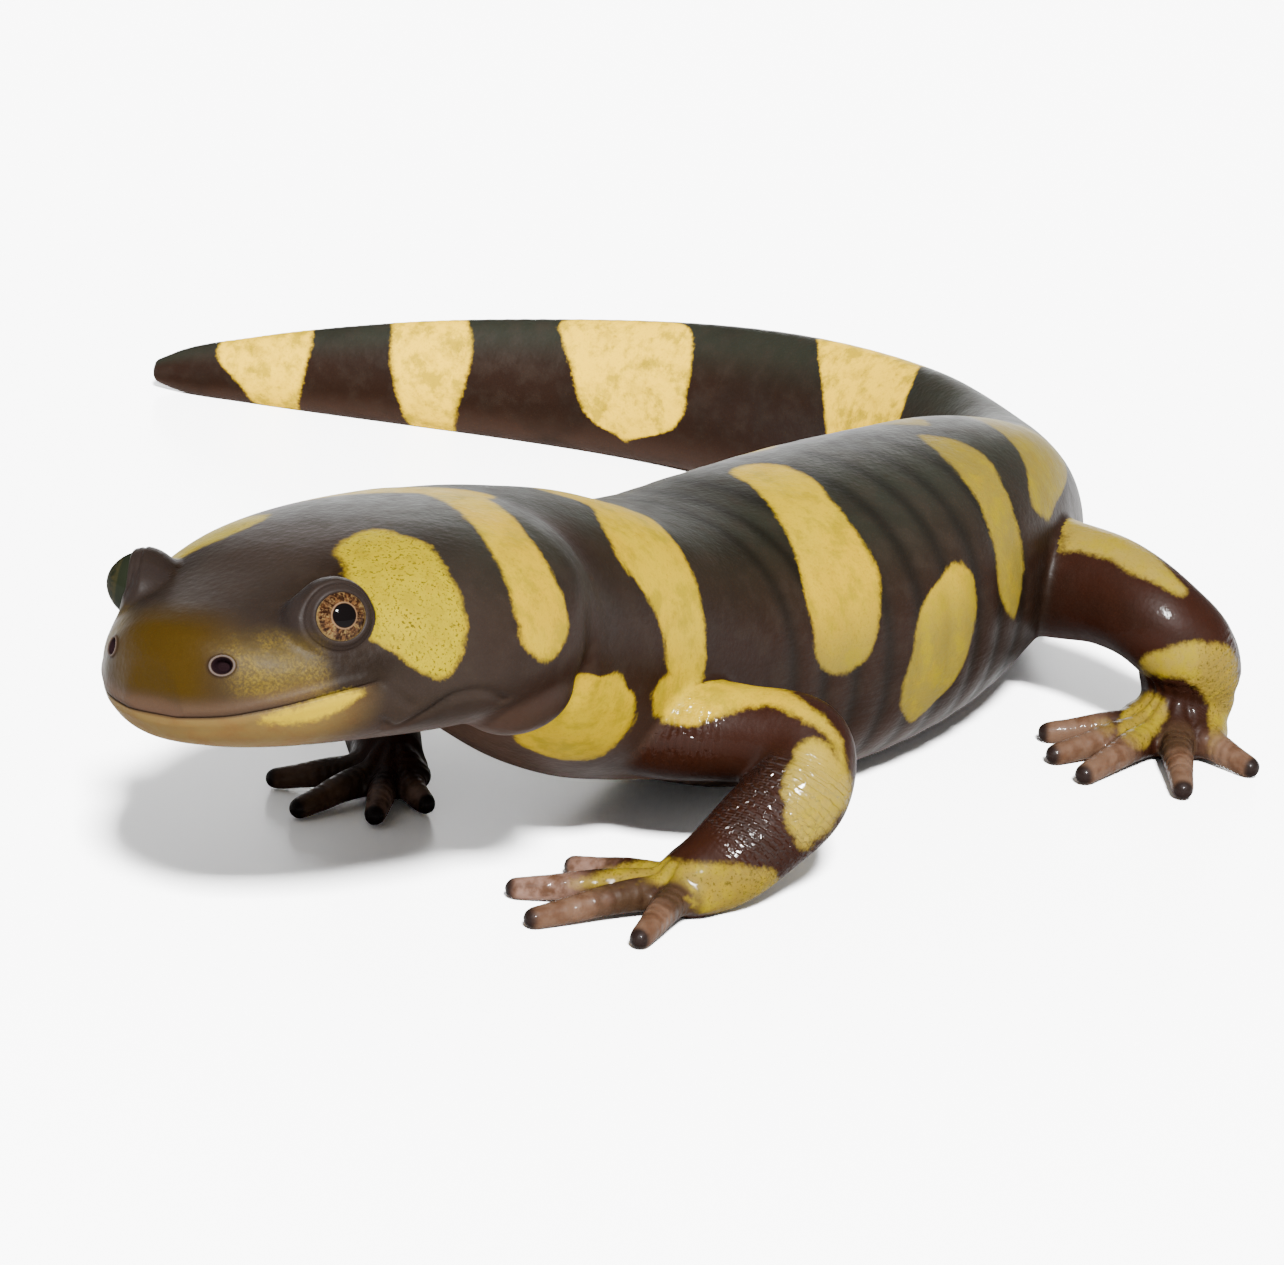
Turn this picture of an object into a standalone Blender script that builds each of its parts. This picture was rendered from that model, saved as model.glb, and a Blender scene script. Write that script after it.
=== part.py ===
"""Life-size barred tiger salamander, standing still with its head raised and its tail curled round behind."""
import math

import bmesh
import bpy
import numpy as np
from mathutils import Matrix, Vector

# All sizes below are millimetres and degrees; the mesh is scaled to metres as it is written.
MM = 0.001
GAP = 0.3                 # clear width of every parting cut
SMALLEST_PIECE = 40       # vertices; anything smaller is a shaving left by a cut
VOXEL = 0.35              # size of the cells in which the forms are joined
SMOOTH_ROUNDS = 8
KEEP_SHARE = 0.026        # share of the joined surface's faces that is kept
GROUND_SIZE = 400.0
GROUND_DEPTH = 100.0
ORIGIN_X = -33.19         # middle of the outline box, measured from the point between the shoulders
ORIGIN_Y = 24.84

HEAD_LENGTH = 27.0        # snout tip to the base of the skull
NECK_LENGTH = 9.9
TAIL_END = 165.4
HEAD_HEADING = 88.84
HEAD_ROLL = 7.0
MOUTH_LEVEL = 18.76       # height of the mouth corner above the floor

# Direction in which the spine runs towards the tail, against distance behind the shoulders.
SPINE_HEADING = [(-40, HEAD_HEADING), (-10, HEAD_HEADING), (-5, 86.5), (0, 91.5), (24.2, 85.5), (48.3, 94.9),
                 (74.3, 138.8), (96.3, 165.6), (126.3, 198.9), (165.4, 201.1)]

# Trunk and tail: distance, half width, top height, bottom height.
TRUNK = [
    (-9.9, 12.3, 26.6, 11.6),
    (-6.0, 11.1, 26.0, 8.6),
    (-2.0, 10.6, 25.2, 6.0),
    (3.0, 10.7, 24.0, 4.3),
    (9.0, 11.4, 21.9, 2.8),
    (16.0, 12.4, 20.8, 0.6),
    (24.0, 12.9, 21.0, -0.35),
    (34.0, 12.4, 21.4, -0.35),
    (42.0, 10.8, 21.4, 0.1),
    (49.0, 9.2, 21.0, 1.2),
    (56.0, 7.7, 19.5, 1.4),
    (62.0, 6.7, 17.6, 0.5),
    (70.0, 5.8, 16.2, -0.2),
    (86.0, 4.8, 15.4, -0.35),
    (105.0, 4.1, 14.0, -0.35),
    (125.0, 3.3, 11.6, -0.35),
    (143.0, 2.6, 8.9, -0.3),
    (156.0, 1.9, 5.9, -0.2),
    (162.5, 1.3, 3.9, 0.0),
    (165.0, 0.7, 2.6, 0.6),
]

# Head: distance ahead of the skull base, half width, height above and depth below the mouth level.
HEAD = [
    (0.0, 12.6, 7.9, 6.9),
    (4.0, 13.4, 8.1, 6.2),
    (8.0, 13.7, 8.1, 5.4),
    (12.0, 13.2, 7.8, 5.0),
    (16.0, 12.0, 7.1, 4.6),
    (19.0, 10.7, 6.1, 4.3),
    (22.0, 8.9, 5.3, 3.9),
    (24.5, 6.7, 4.7, 3.3),
    (26.1, 4.4, 3.9, 2.6),
    (26.9, 2.2, 2.6, 1.6),
]

# Fold of the throat: distance from the shoulders, depth and half length along the body.
FOLD = (-9.9, 1.1, 1.1)
FOLD_TOP = 0.55           # share of the half height at which the throat fold fades out
KEEL = (60.0, 20.0, 0.28) # ridge on top of the tail: start, run-in and how much narrower it gets
BODY_CUTS = (FOLD[0] + 0.3, -3.2, 18.0, 36.0, 60.5, 82.0, 104.0, 126.0, 146.0)

EYE_AHEAD = 19.3
EYE_SIDE = 8.0
EYE_UP = 4.5
EYE_RADIUS = 2.15
LID_RADIUS = 2.52
LID_FRONT = (20.4, 7.1, 4.1)      # front of the lid bulge: ahead, sideways, up
LID_FRONT_RADIUS = 2.14
EYE_OPENING = 1.72
EYE_AXIS = (0.38, 0.90, 0.20)     # forward, sideways and up parts of the way the left eye looks
CHEEK = (4.6, 9.6, -3.0, 4.0)      # jaw muscle: ahead, sideways, up and radius
CHEEK_SHAPE = (0.8, 1.15, 0.72)
NOSTRIL = (25.2, 4.7, 2.45)
NOSTRIL_RADIUS = 0.42
# Line of the mouth from in front of the snout to its corner, then down behind the jaw: ahead, up.
MOUTH_LINE = [(31.0, -1.1), (26.9, -1.05), (26.1, -0.8), (24.5, -0.4), (22.0, 0.15), (20.0, 0.5),
              (18.7, 0.65)]
JAW_REAR = [(17.2, -1.6), (15.2, -5.0), (13.6, -9.0)]

# Grooves between the ribs: first and last position, spacing, depth and half width.
RIBS = (10.0, 46.0, 3.6, 0.16, 0.55)
# Power of the rounded sections: 2 is an ellipse, more is squarer.
HEAD_POWER = [(0, 2.35), (12, 2.5), (27, 2.2)]
TRUNK_POWER = [(-9, 2.35), (20, 2.3), (45, 2.25), (70, 2.0), (165, 2.0)]

# Limb joints from the root to the palm: position, then radius.
ARM_LEFT = [(5.0, 2.6, 10.3, 4.3), (8.6, 3.3, 9.9, 3.7), (13.2, 5.4, 10.0, 3.3), (17.6, 6.6, 9.8, 3.25),
            (18.5, 5.0, 7.6, 3.4), (17.4, 2.6, 5.1, 3.3), (16.3, 0.2, 3.1, 3.0), (15.0, -1.9, 1.8, 2.5)]
FINGERS_LEFT = [(6.1, -2.7), (5.9, -8.7), (10.0, -11.9), (16.9, -9.6)]
ARM_RIGHT = [(-5.0, 2.6, 10.3, 4.3), (-8.8, 3.8, 9.9, 3.7), (-13.6, 6.6, 10.0, 3.2), (-18.8, 8.8, 9.6, 3.1),
             (-20.2, 7.6, 7.4, 3.1), (-18.6, 5.1, 5.0, 2.9), (-15.4, 2.7, 3.1, 2.7), (-12.6, 0.4, 1.8, 2.4)]
FINGERS_RIGHT = [(-8.2, -1.0), (-9.2, -5.2), (-13.6, -8.0), (-18.6, -4.8)]
LEG_LEFT = [(3.6, 51.5, 10.2, 5.0), (8.4, 51.6, 10.0, 4.6), (14.0, 51.2, 10.2, 4.1), (18.8, 50.4, 9.1, 3.7),
            (20.5, 51.4, 7.3, 3.7), (20.4, 52.6, 5.0, 3.8), (20.4, 52.4, 3.1, 3.5), (20.6, 50.4, 1.8, 3.0)]
TOES_LEFT = [(13.7, 44.3), (16.7, 40.6), (20.5, 38.6), (27.1, 41.2), (28.1, 49.0)]
LEG_RIGHT = [(-4.4, 51.0, 10.2, 5.0), (-9.2, 50.4, 10.0, 4.6), (-14.6, 49.0, 10.2, 4.1),
             (-19.4, 47.6, 9.1, 3.7), (-21.2, 48.4, 7.3, 3.7), (-21.3, 49.8, 5.0, 3.8),
             (-21.2, 49.8, 3.1, 3.5), (-21.2, 47.8, 1.8, 3.0)]
TOES_RIGHT = [(-14.2, 42.4), (-16.8, 38.2), (-20.6, 36.0), (-26.6, 38.2), (-28.6, 45.6)]
# Radii of a digit at its root, of its tip and of the palm.
HAND_SIZES = (1.25, 0.8, 3.0)
FOOT_SIZES = (1.4, 0.85, 4.2)
# Parting discs. Root: place along the spine, distance from it, radius. Joint: share of the way, radius.
ARM_ROOT = (4.5, 12.0, 5.6)
LEG_ROOT = (51.0, 10.4, 6.4)
ELBOW_LEFT = (3.0, 7.8)
ELBOW_RIGHT = (3.0, 8.0)
WRIST = (5.2, 4.5)
KNEE = (3.3, 5.4)
ANKLE = (5.6, 4.8)


def curve(table, at):
    """Smooth interpolation of a table whose first column is the argument."""
    rows = np.array(table, float)
    x = rows[:, 0]
    slope = np.gradient(rows[:, 1:], x, axis=0)
    at = np.clip(np.atleast_1d(np.asarray(at, float)), x[0], x[-1])
    i = np.clip(np.searchsorted(x, at, side="right") - 1, 0, len(x) - 2)
    step = (x[i + 1] - x[i])[:, None]
    t = ((at - x[i])[:, None]) / step
    return ((2 * t**3 - 3 * t**2 + 1) * rows[i, 1:] + (t**3 - 2 * t**2 + t) * step * slope[i]
            + (3 * t**2 - 2 * t**3) * rows[i + 1, 1:] + (t**3 - t**2) * step * slope[i + 1])


SPINE_STEP = 0.25
SPINE_S = np.arange(-NECK_LENGTH - HEAD_LENGTH - 4.0, TAIL_END + 1.0, SPINE_STEP)
SPINE_TURN = np.radians(curve(SPINE_HEADING, SPINE_S)[:, 0])


def spine_line():
    """Floor plan of the spine, with the point between the shoulders at zero."""
    x = np.concatenate([[0], np.cumsum(np.cos((SPINE_TURN[1:] + SPINE_TURN[:-1]) / 2)) * SPINE_STEP])
    y = np.concatenate([[0], np.cumsum(np.sin((SPINE_TURN[1:] + SPINE_TURN[:-1]) / 2)) * SPINE_STEP])
    x -= np.interp(0, SPINE_S, x)
    y -= np.interp(0, SPINE_S, y)
    return x, y


SPINE_X, SPINE_Y = spine_line()


def spine_point(s):
    """Plan position and tailward direction of the spine at a distance behind the shoulders."""
    turn = np.interp(s, SPINE_S, SPINE_TURN)
    return np.interp(s, SPINE_S, SPINE_X), np.interp(s, SPINE_S, SPINE_Y), turn


def head_frame():
    """Base point of the head with its forward, left and up directions."""
    x, y, turn = spine_point(-NECK_LENGTH)
    forward = Vector((-math.cos(turn), -math.sin(turn), 0.0))
    left = Vector((-forward.y, forward.x, 0.0))
    roll = math.radians(HEAD_ROLL)
    up = Vector((0, 0, 1))
    return Vector((x, y, MOUTH_LEVEL)), forward, left * math.cos(roll) + up * math.sin(roll), \
        up * math.cos(roll) - left * math.sin(roll)


BASE, FORWARD, LEFT, UP = head_frame()


def head_point(ahead, side, up):
    return BASE + FORWARD * ahead + LEFT * side + UP * up


def superellipse(angle, width, top, bottom, power):
    """Point of a rounded section; the top and bottom halves have their own heights."""
    c, s = math.cos(angle), math.sin(angle)
    across = width * math.copysign(abs(c) ** (2 / power), c)
    high = (top if s > 0 else bottom) * math.copysign(abs(s) ** (2 / power), s)
    return across, high


def rib_groove(s):
    """Depth of the shallow grooves along the flank at a distance behind the shoulders."""
    first, last, spacing, depth, half_width = RIBS
    if s < first or s > last:
        return 0.0
    phase = (s - first) / spacing
    fade = min((s - first) / 4, (last - s) / 4, 1)
    return depth * fade * math.exp(-((phase - round(phase)) * spacing / half_width) ** 2)


def folded(s, across, high, width, half):
    """Draw a section point inwards where the throat fold and the rib grooves run."""
    low = min(max(FOLD_TOP - high / half, 0), 1)
    shrink = FOLD[1] * low * math.exp(-((s - FOLD[0]) / FOLD[2]) ** 2)
    shrink += rib_groove(s) * max(1 - abs(high / half) ** 2, 0)
    return across * (1 - shrink / width), high * (1 - shrink / half)


def body_rings(around):
    """Section rings of the whole body from snout to tail tip."""
    rings = []
    keel_start, keel_run, keel_depth = KEEL
    for ahead in np.concatenate([np.linspace(26.9, 24.0, 9), np.linspace(23.2, 0.6, 26)]):
        width, top, bottom = curve(HEAD, ahead)[0]
        power = np.interp(ahead, *zip(*HEAD_POWER))
        ring = []
        for k in range(around):
            across, high = superellipse(2 * math.pi * k / around, width, top, bottom, power)
            across, high = folded(-NECK_LENGTH - ahead, across, high, width, (top + bottom) / 2)
            ring.append(head_point(ahead, across, high))
        rings.append(ring)
    for s in np.concatenate([np.arange(-9.1, 50, 0.6), np.arange(50, 160, 1.5), np.linspace(161, 165, 5)]):
        width, top, bottom = curve(TRUNK, s)[0]
        x, y, turn = spine_point(s)
        roll = math.radians(HEAD_ROLL) * float(np.clip(-s / 9, 0, 1))
        middle = (top + bottom) / 2
        power = np.interp(s, *zip(*TRUNK_POWER))
        side = Vector((math.sin(turn), -math.cos(turn), 0.0))
        ring = []
        for k in range(around):
            half = (top - bottom) / 2
            across, high = superellipse(2 * math.pi * k / around, width, half, half, power)
            if s > keel_start and high > 0:
                across *= 1 - keel_depth * (high / half) ** 2 * min((s - keel_start) / keel_run, 1)
            across, high = folded(s, across, high, width, half)
            sideways = across * math.cos(roll) - high * math.sin(roll)
            upwards = across * math.sin(roll) + high * math.cos(roll)
            ring.append(Vector((x, y, middle + upwards)) + side * sideways)
        rings.append(ring)
    return rings


def add_tube(bm, rings):
    """Closed tube through equal rings with a fan at either end."""
    rows = [[bm.verts.new(p) for p in ring] for ring in rings]
    n = len(rows[0])
    for a, b in zip(rows, rows[1:]):
        for k in range(n):
            bm.faces.new((a[k], a[(k + 1) % n], b[(k + 1) % n], b[k]))
    for row in (rows[0], rows[-1]):
        centre = bm.verts.new(sum((v.co for v in row), Vector()) / n)
        for k in range(n):
            pair = (row[k], row[(k + 1) % n])
            bm.faces.new((pair[1], pair[0], centre) if row is rows[0] else (pair[0], pair[1], centre))


def limb_rings(points, around=20, step=0.7, flatten=1.0):
    """Round sections along a smooth path given as x, y, z, radius."""
    rows = np.array(points, float)
    length = np.concatenate([[0], np.cumsum(np.linalg.norm(np.diff(rows[:, :3], axis=0), axis=1))])
    at = np.linspace(0, length[-1], max(int(length[-1] / step), 6))
    path = curve(np.column_stack([length, rows]), at)
    direction = np.gradient(path[:, :3], axis=0)
    rings = []
    for p, d in zip(path, direction):
        d = Vector(d).normalized()
        side = d.cross(Vector((0, 0, 1)))
        if side.length < 1e-3:
            side = Vector((1, 0, 0))
        side.normalize()
        over = side.cross(d).normalized()
        rings.append([Vector(p[:3]) + side * p[3] * math.cos(a) + over * p[3] * flatten * math.sin(a)
                      for a in (2 * math.pi * k / around for k in range(around))])
    return rings


def add_ball(bm, centre, radius, axes=(1, 1, 1), detail=3):
    made = bmesh.ops.create_icosphere(bm, subdivisions=detail, radius=radius)
    for v in made["verts"]:
        v.co = Vector((v.co.x * axes[0], v.co.y * axes[1], v.co.z * axes[2])) + Vector(centre)


def add_digits(bm, palm, tips, root_radius, tip_radius, palm_radius):
    """Fingers or toes from a palm to tips lying on the floor, and the flat pad that joins them."""
    palm = Vector(palm)
    for x, y in tips:
        tip = Vector((x, y, tip_radius - 0.1))
        reach = tip - Vector((palm.x, palm.y, tip.z))
        root = palm + reach * 0.18
        arch = palm + reach * 0.52
        points = [(root.x, root.y, 1.5, root_radius), (arch.x, arch.y, 1.35, root_radius * 0.86),
                  (palm.x + reach.x * 0.82, palm.y + reach.y * 0.82, tip_radius + 0.1, tip_radius * 1.12),
                  (tip.x, tip.y, tip.z, tip_radius)]
        add_tube(bm, limb_rings(points, around=14, step=0.5))
        add_ball(bm, tip, tip_radius, detail=2)
    add_ball(bm, (palm.x, palm.y, 1.5), palm_radius, (1.0, 1.0, 0.52))


def add_limb(bm, points, tips, root_radius, tip_radius, palm_radius):
    add_tube(bm, limb_rings(points))
    for end in (points[0], points[-1]):
        add_ball(bm, end[:3], end[3] * 0.98)
    add_digits(bm, points[-1][:3], tips, root_radius, tip_radius, palm_radius)


def eye_centre(side):
    return head_point(EYE_AHEAD, side * EYE_SIDE, EYE_UP)


def eye_axis(side):
    ahead, across, up = EYE_AXIS
    return (FORWARD * ahead + LEFT * across * side + UP * up).normalized()


def new_object(name, bm):
    mesh = bpy.data.meshes.new(name)
    bmesh.ops.recalc_face_normals(bm, faces=bm.faces)
    bm.to_mesh(mesh)
    bm.free()
    obj = bpy.data.objects.new(name, mesh)
    bpy.context.scene.collection.objects.link(obj)
    return obj


def whole_animal(voxel, smooth_rounds):
    """Every flesh form joined into one closed surface."""
    bm = bmesh.new()
    add_tube(bm, body_rings(48))
    add_limb(bm, ARM_LEFT, FINGERS_LEFT, *HAND_SIZES)
    add_limb(bm, ARM_RIGHT, FINGERS_RIGHT, *HAND_SIZES)
    add_limb(bm, LEG_LEFT, TOES_LEFT, *FOOT_SIZES)
    add_limb(bm, LEG_RIGHT, TOES_RIGHT, *FOOT_SIZES)
    for side in (1, -1):
        ahead, across, up, radius = CHEEK
        add_ball(bm, head_point(ahead, side * across, up), radius, CHEEK_SHAPE, 4)
        add_ball(bm, eye_centre(side), LID_RADIUS, detail=4)
        ahead, across, up = LID_FRONT
        add_ball(bm, head_point(ahead, side * across, up), LID_FRONT_RADIUS, detail=4)
    obj = new_object("whole", bm)
    remesh = obj.modifiers.new("join", "REMESH")
    remesh.mode = "VOXEL"
    remesh.voxel_size = voxel
    ease = obj.modifiers.new("ease", "SMOOTH")
    ease.factor = 0.5
    ease.iterations = smooth_rounds
    return obj


def apply_modifiers(obj):
    view = bpy.context.evaluated_depsgraph_get()
    mesh = bpy.data.meshes.new_from_object(obj.evaluated_get(view))
    obj.modifiers.clear()
    obj.data = mesh


def boolean(obj, cutter, operation):
    step = obj.modifiers.new("cut", "BOOLEAN")
    step.operation = operation
    step.solver = "EXACT"
    step.object = cutter
    cutter.hide_render = True
    apply_modifiers(obj)
    bpy.data.objects.remove(cutter)


def largest_piece(obj):
    """Keep only the largest closed surface of a mesh."""
    bm = bmesh.new()
    bm.from_mesh(obj.data)
    groups = surfaces(bm)
    keep = max(groups, key=len)
    for group in groups:
        if group is not keep:
            bmesh.ops.delete(bm, geom=list(group), context="VERTS")
    bm.to_mesh(obj.data)
    bm.free()


def surfaces(bm):
    """Groups of vertices that hang together."""
    seen, groups = set(), []
    for start in bm.verts:
        if start in seen:
            continue
        group, stack = [], [start]
        seen.add(start)
        while stack:
            v = stack.pop()
            group.append(v)
            for edge in v.link_edges:
                other = edge.other_vert(v)
                if other not in seen:
                    seen.add(other)
                    stack.append(other)
        groups.append(group)
    return groups


def plate(outline, normal):
    """Thin closed plate, one gap thick, on a flat outline."""
    bm = bmesh.new()
    normal = Vector(normal).normalized() * (GAP / 2)
    lower = [bm.verts.new(Vector(p) - normal) for p in outline]
    upper = [bm.verts.new(Vector(p) + normal) for p in outline]
    n = len(outline)
    bm.faces.new(upper)
    bm.faces.new(lower[::-1])
    for k in range(n):
        bm.faces.new((lower[k], lower[(k + 1) % n], upper[(k + 1) % n], upper[k]))
    return new_object("plate", bm)


def disc_outline(centre, normal, radius, count=20):
    normal = Vector(normal).normalized()
    side = normal.orthogonal().normalized()
    over = normal.cross(side)
    return [Vector(centre) + side * radius * math.cos(2 * math.pi * k / count)
            + over * radius * math.sin(2 * math.pi * k / count) for k in range(count)]


def body_plate(s, margin=1.0):
    """Parting plate across the trunk or tail, just larger than the section."""
    width, top, bottom = curve(TRUNK, s)[0]
    x, y, turn = spine_point(s)
    side = Vector((math.sin(turn), -math.cos(turn), 0.0))
    middle = Vector((x, y, (top + bottom) / 2))
    half = (top - bottom) / 2 + margin
    outline = []
    for k in range(28):
        across, high = superellipse(2 * math.pi * k / 28, width + margin, half, half, 2.4)
        outline.append(middle + side * across + Vector((0, 0, high)))
    return plate(outline, (math.cos(turn), math.sin(turn), 0))


def jaw_sheet():
    """Bent sheet that follows the line of the mouth and turns down behind the jaw."""
    bm = bmesh.new()
    profile = MOUTH_LINE + JAW_REAR
    above, below = [], []
    for i, (ahead, up) in enumerate(profile):
        before = profile[max(i - 1, 0)]
        after = profile[min(i + 1, len(profile) - 1)]
        d = Vector((after[0] - before[0], after[1] - before[1])).normalized()
        off = Vector((-d.y, d.x)) * (GAP / 2)
        above.append((ahead - off.x, up - off.y))
        below.append((ahead + off.x, up + off.y))
    loop = above + below[::-1]
    reach = HEAD_LENGTH * 0.6
    left = [bm.verts.new(head_point(a, reach, u)) for a, u in loop]
    right = [bm.verts.new(head_point(a, -reach, u)) for a, u in loop]
    n, m = len(loop), len(profile)
    for k in range(n):
        bm.faces.new((left[k], left[(k + 1) % n], right[(k + 1) % n], right[k]))
    for k in range(m - 1):
        quad = (k, k + 1, n - 2 - k, n - 1 - k)
        bm.faces.new([left[i] for i in quad[::-1]])
        bm.faces.new([right[i] for i in quad])
    return new_object("sheet", bm)


def limb_plate(points, share, radius):
    """Parting disc across a limb at a share of the way along its joints."""
    rows = np.array(points, float)
    path = curve(np.column_stack([np.arange(len(rows)), rows]), [share - 0.1, share, share + 0.1])
    along = path[2][:3] - path[0][:3]
    return plate(disc_outline(path[1][:3], along, radius), along)


def root_plate(points, s, away, radius):
    """Parting disc along the flank, a set distance from the spine, where a limb leaves it."""
    x, y, turn = spine_point(s)
    side = Vector((math.sin(turn), -math.cos(turn), 0.0))
    if points[0][0] < 0:
        side = -side
    rows = np.array(points, float)
    path = curve(np.column_stack([np.arange(len(rows)), rows]), np.linspace(0, 3, 61))
    reach = [(Vector(p[:3]) - Vector((x, y, p[2]))).dot(side) for p in path]
    centre = path[int(np.argmin(np.abs(np.array(reach) - away)))]
    return plate(disc_outline(centre[:3], side, radius), side)


def parting_plates():
    made = [body_plate(s) for s in BODY_CUTS]
    made.append(jaw_sheet())
    for points, elbow in ((ARM_LEFT, ELBOW_LEFT), (ARM_RIGHT, ELBOW_RIGHT)):
        made += [root_plate(points, *ARM_ROOT), limb_plate(points, *elbow), limb_plate(points, *WRIST)]
    for points in (LEG_LEFT, LEG_RIGHT):
        made += [root_plate(points, *LEG_ROOT), limb_plate(points, *KNEE), limb_plate(points, *ANKLE)]
    return made


SKIN_DARK = (0.035, 0.025, 0.022, 1.0)
EYE_COLOUR = (0.02, 0.012, 0.008, 1.0)


def material(name, colour):
    made = bpy.data.materials.new(name)
    made.use_nodes = True
    shader = made.node_tree.nodes["Principled BSDF"]
    shader.inputs["Base Color"].default_value = colour
    shader.inputs["Roughness"].default_value = 0.3
    made.diffuse_color = colour
    return made


def limb_seed(points, share):
    rows = np.array(points, float)
    return curve(np.column_stack([np.arange(len(rows)), rows]), share)[0][:3]


def body_seed(s):
    width, top, bottom = curve(TRUNK, s)[0]
    x, y, _ = spine_point(s)
    return (x, y, (top + bottom) / 2)


def seeds():
    """A point inside each named piece."""
    found = {
        "head": head_point(10, 0, 2), "lower_jaw": head_point(20, 0, -2.4),
        "neck": body_seed(-6.4), "torso_front": body_seed(7), "torso_middle": body_seed(27),
        "torso_rear": body_seed(47), "tail_1": body_seed(69), "tail_2": body_seed(91),
        "tail_3": body_seed(114), "tail_4": body_seed(136), "tail_5": body_seed(154),
    }
    for side, arm, leg in (("left", ARM_LEFT, LEG_LEFT), ("right", ARM_RIGHT, LEG_RIGHT)):
        found["upper_arm_" + side] = limb_seed(arm, 2.2)
        found["forearm_" + side] = limb_seed(arm, 4.6)
        found["hand_" + side] = limb_seed(arm, 6.9)
        found["thigh_" + side] = limb_seed(leg, 2.2)
        found["shank_" + side] = limb_seed(leg, 4.6)
        found["foot_" + side] = limb_seed(leg, 6.9)
    return found


def split_pieces(obj):
    """Name every loose closed surface after the seed point nearest to its middle."""
    bm = bmesh.new()
    bm.from_mesh(obj.data)
    groups = [g for g in surfaces(bm) if len(g) > SMALLEST_PIECE]
    middles = [sum((v.co for v in g), Vector()) / len(g) for g in groups]
    named = {}
    for name, seed in seeds().items():
        named[name] = min(range(len(groups)), key=lambda i: (middles[i] - Vector(seed)).length)
    pieces = {}
    for name, index in named.items():
        part = bmesh.new()
        lookup = {v: part.verts.new(v.co) for v in groups[index]}
        faces = {f for v in groups[index] for f in v.link_faces}
        for f in sorted(faces, key=lambda face: face.index):
            part.faces.new([lookup[v] for v in f.verts])
        pieces[name] = new_object(name, part)
    bm.free()
    return pieces


def ball_object(centre, radius, detail=3):
    bm = bmesh.new()
    add_ball(bm, centre, radius, detail=detail)
    return new_object("ball", bm)


def cone_object(start, axis, length, near, far, count=32):
    """Closed round cone, used as an opening cutter."""
    bm = bmesh.new()
    end = Vector(start) + axis * length
    rings = [disc_outline(start, axis, near, count), disc_outline(end, axis, far, count)]
    add_tube(bm, rings)
    return new_object("cone", bm)


def ground():
    """Block under the floor that trims the belly, feet and tail to small flats at one level."""
    bm = bmesh.new()
    bmesh.ops.create_cube(bm, size=1.0)
    for v in bm.verts:
        v.co = Vector((v.co.x * GROUND_SIZE, v.co.y * GROUND_SIZE, (v.co.z - 0.5) * GROUND_DEPTH))
    return new_object("ground", bm)


def add_eye(head, side, name):
    """Open the lids, hollow the socket and set the eyeball in it."""
    centre, axis = eye_centre(side), eye_axis(side)
    boolean(head, ball_object(centre, EYE_RADIUS + GAP * 0.4), "DIFFERENCE")
    boolean(head, cone_object(centre, axis, 6.0, EYE_OPENING * 0.9, EYE_OPENING * 1.5), "DIFFERENCE")
    largest_piece(head)
    ball = ball_object(centre, EYE_RADIUS)
    ball.name = name
    ball.data.name = name
    return ball


def main():
    for old in list(bpy.data.objects):
        bpy.data.objects.remove(old)
    whole = whole_animal(VOXEL, SMOOTH_ROUNDS)
    apply_modifiers(whole)
    thin = whole.modifiers.new("thin", "DECIMATE")
    thin.ratio = KEEP_SHARE
    apply_modifiers(whole)
    largest_piece(whole)
    boolean(whole, ground(), "DIFFERENCE")
    largest_piece(whole)
    for cutter in parting_plates():
        boolean(whole, cutter, "DIFFERENCE")
    pieces = split_pieces(whole)
    bpy.data.objects.remove(whole)
    for side, name in ((1, "eye_left"), (-1, "eye_right")):
        pieces[name] = add_eye(pieces["head"], side, name)
    for side in (1, -1):
        spot = head_point(NOSTRIL[0], side * NOSTRIL[1], NOSTRIL[2])
        boolean(pieces["head"], ball_object(spot, NOSTRIL_RADIUS * 1.8, detail=2), "DIFFERENCE")
    largest_piece(pieces["head"])
    shift = Matrix.Diagonal((MM, MM, MM, 1)) @ Matrix.Translation((-ORIGIN_X, -ORIGIN_Y, 0))
    for name, obj in pieces.items():
        obj.data.transform(shift)
        colour = EYE_COLOUR if name.startswith("eye") else SKIN_DARK
        obj.data.materials.clear()
        obj.data.materials.append(material("mat_" + name, colour))


main()
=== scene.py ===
"""Looks of the tiger salamander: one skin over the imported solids, two eyes, floor, light and camera.

Forms are worked out in millimetres and degrees and scaled to metres at the end. The spine's zero lies between
the shoulders. Side 1 is the animal's left, side -1 its right.
"""
import math
from collections import namedtuple

import bmesh
import bpy
import numpy as np
from mathutils import Matrix, Vector


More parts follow.
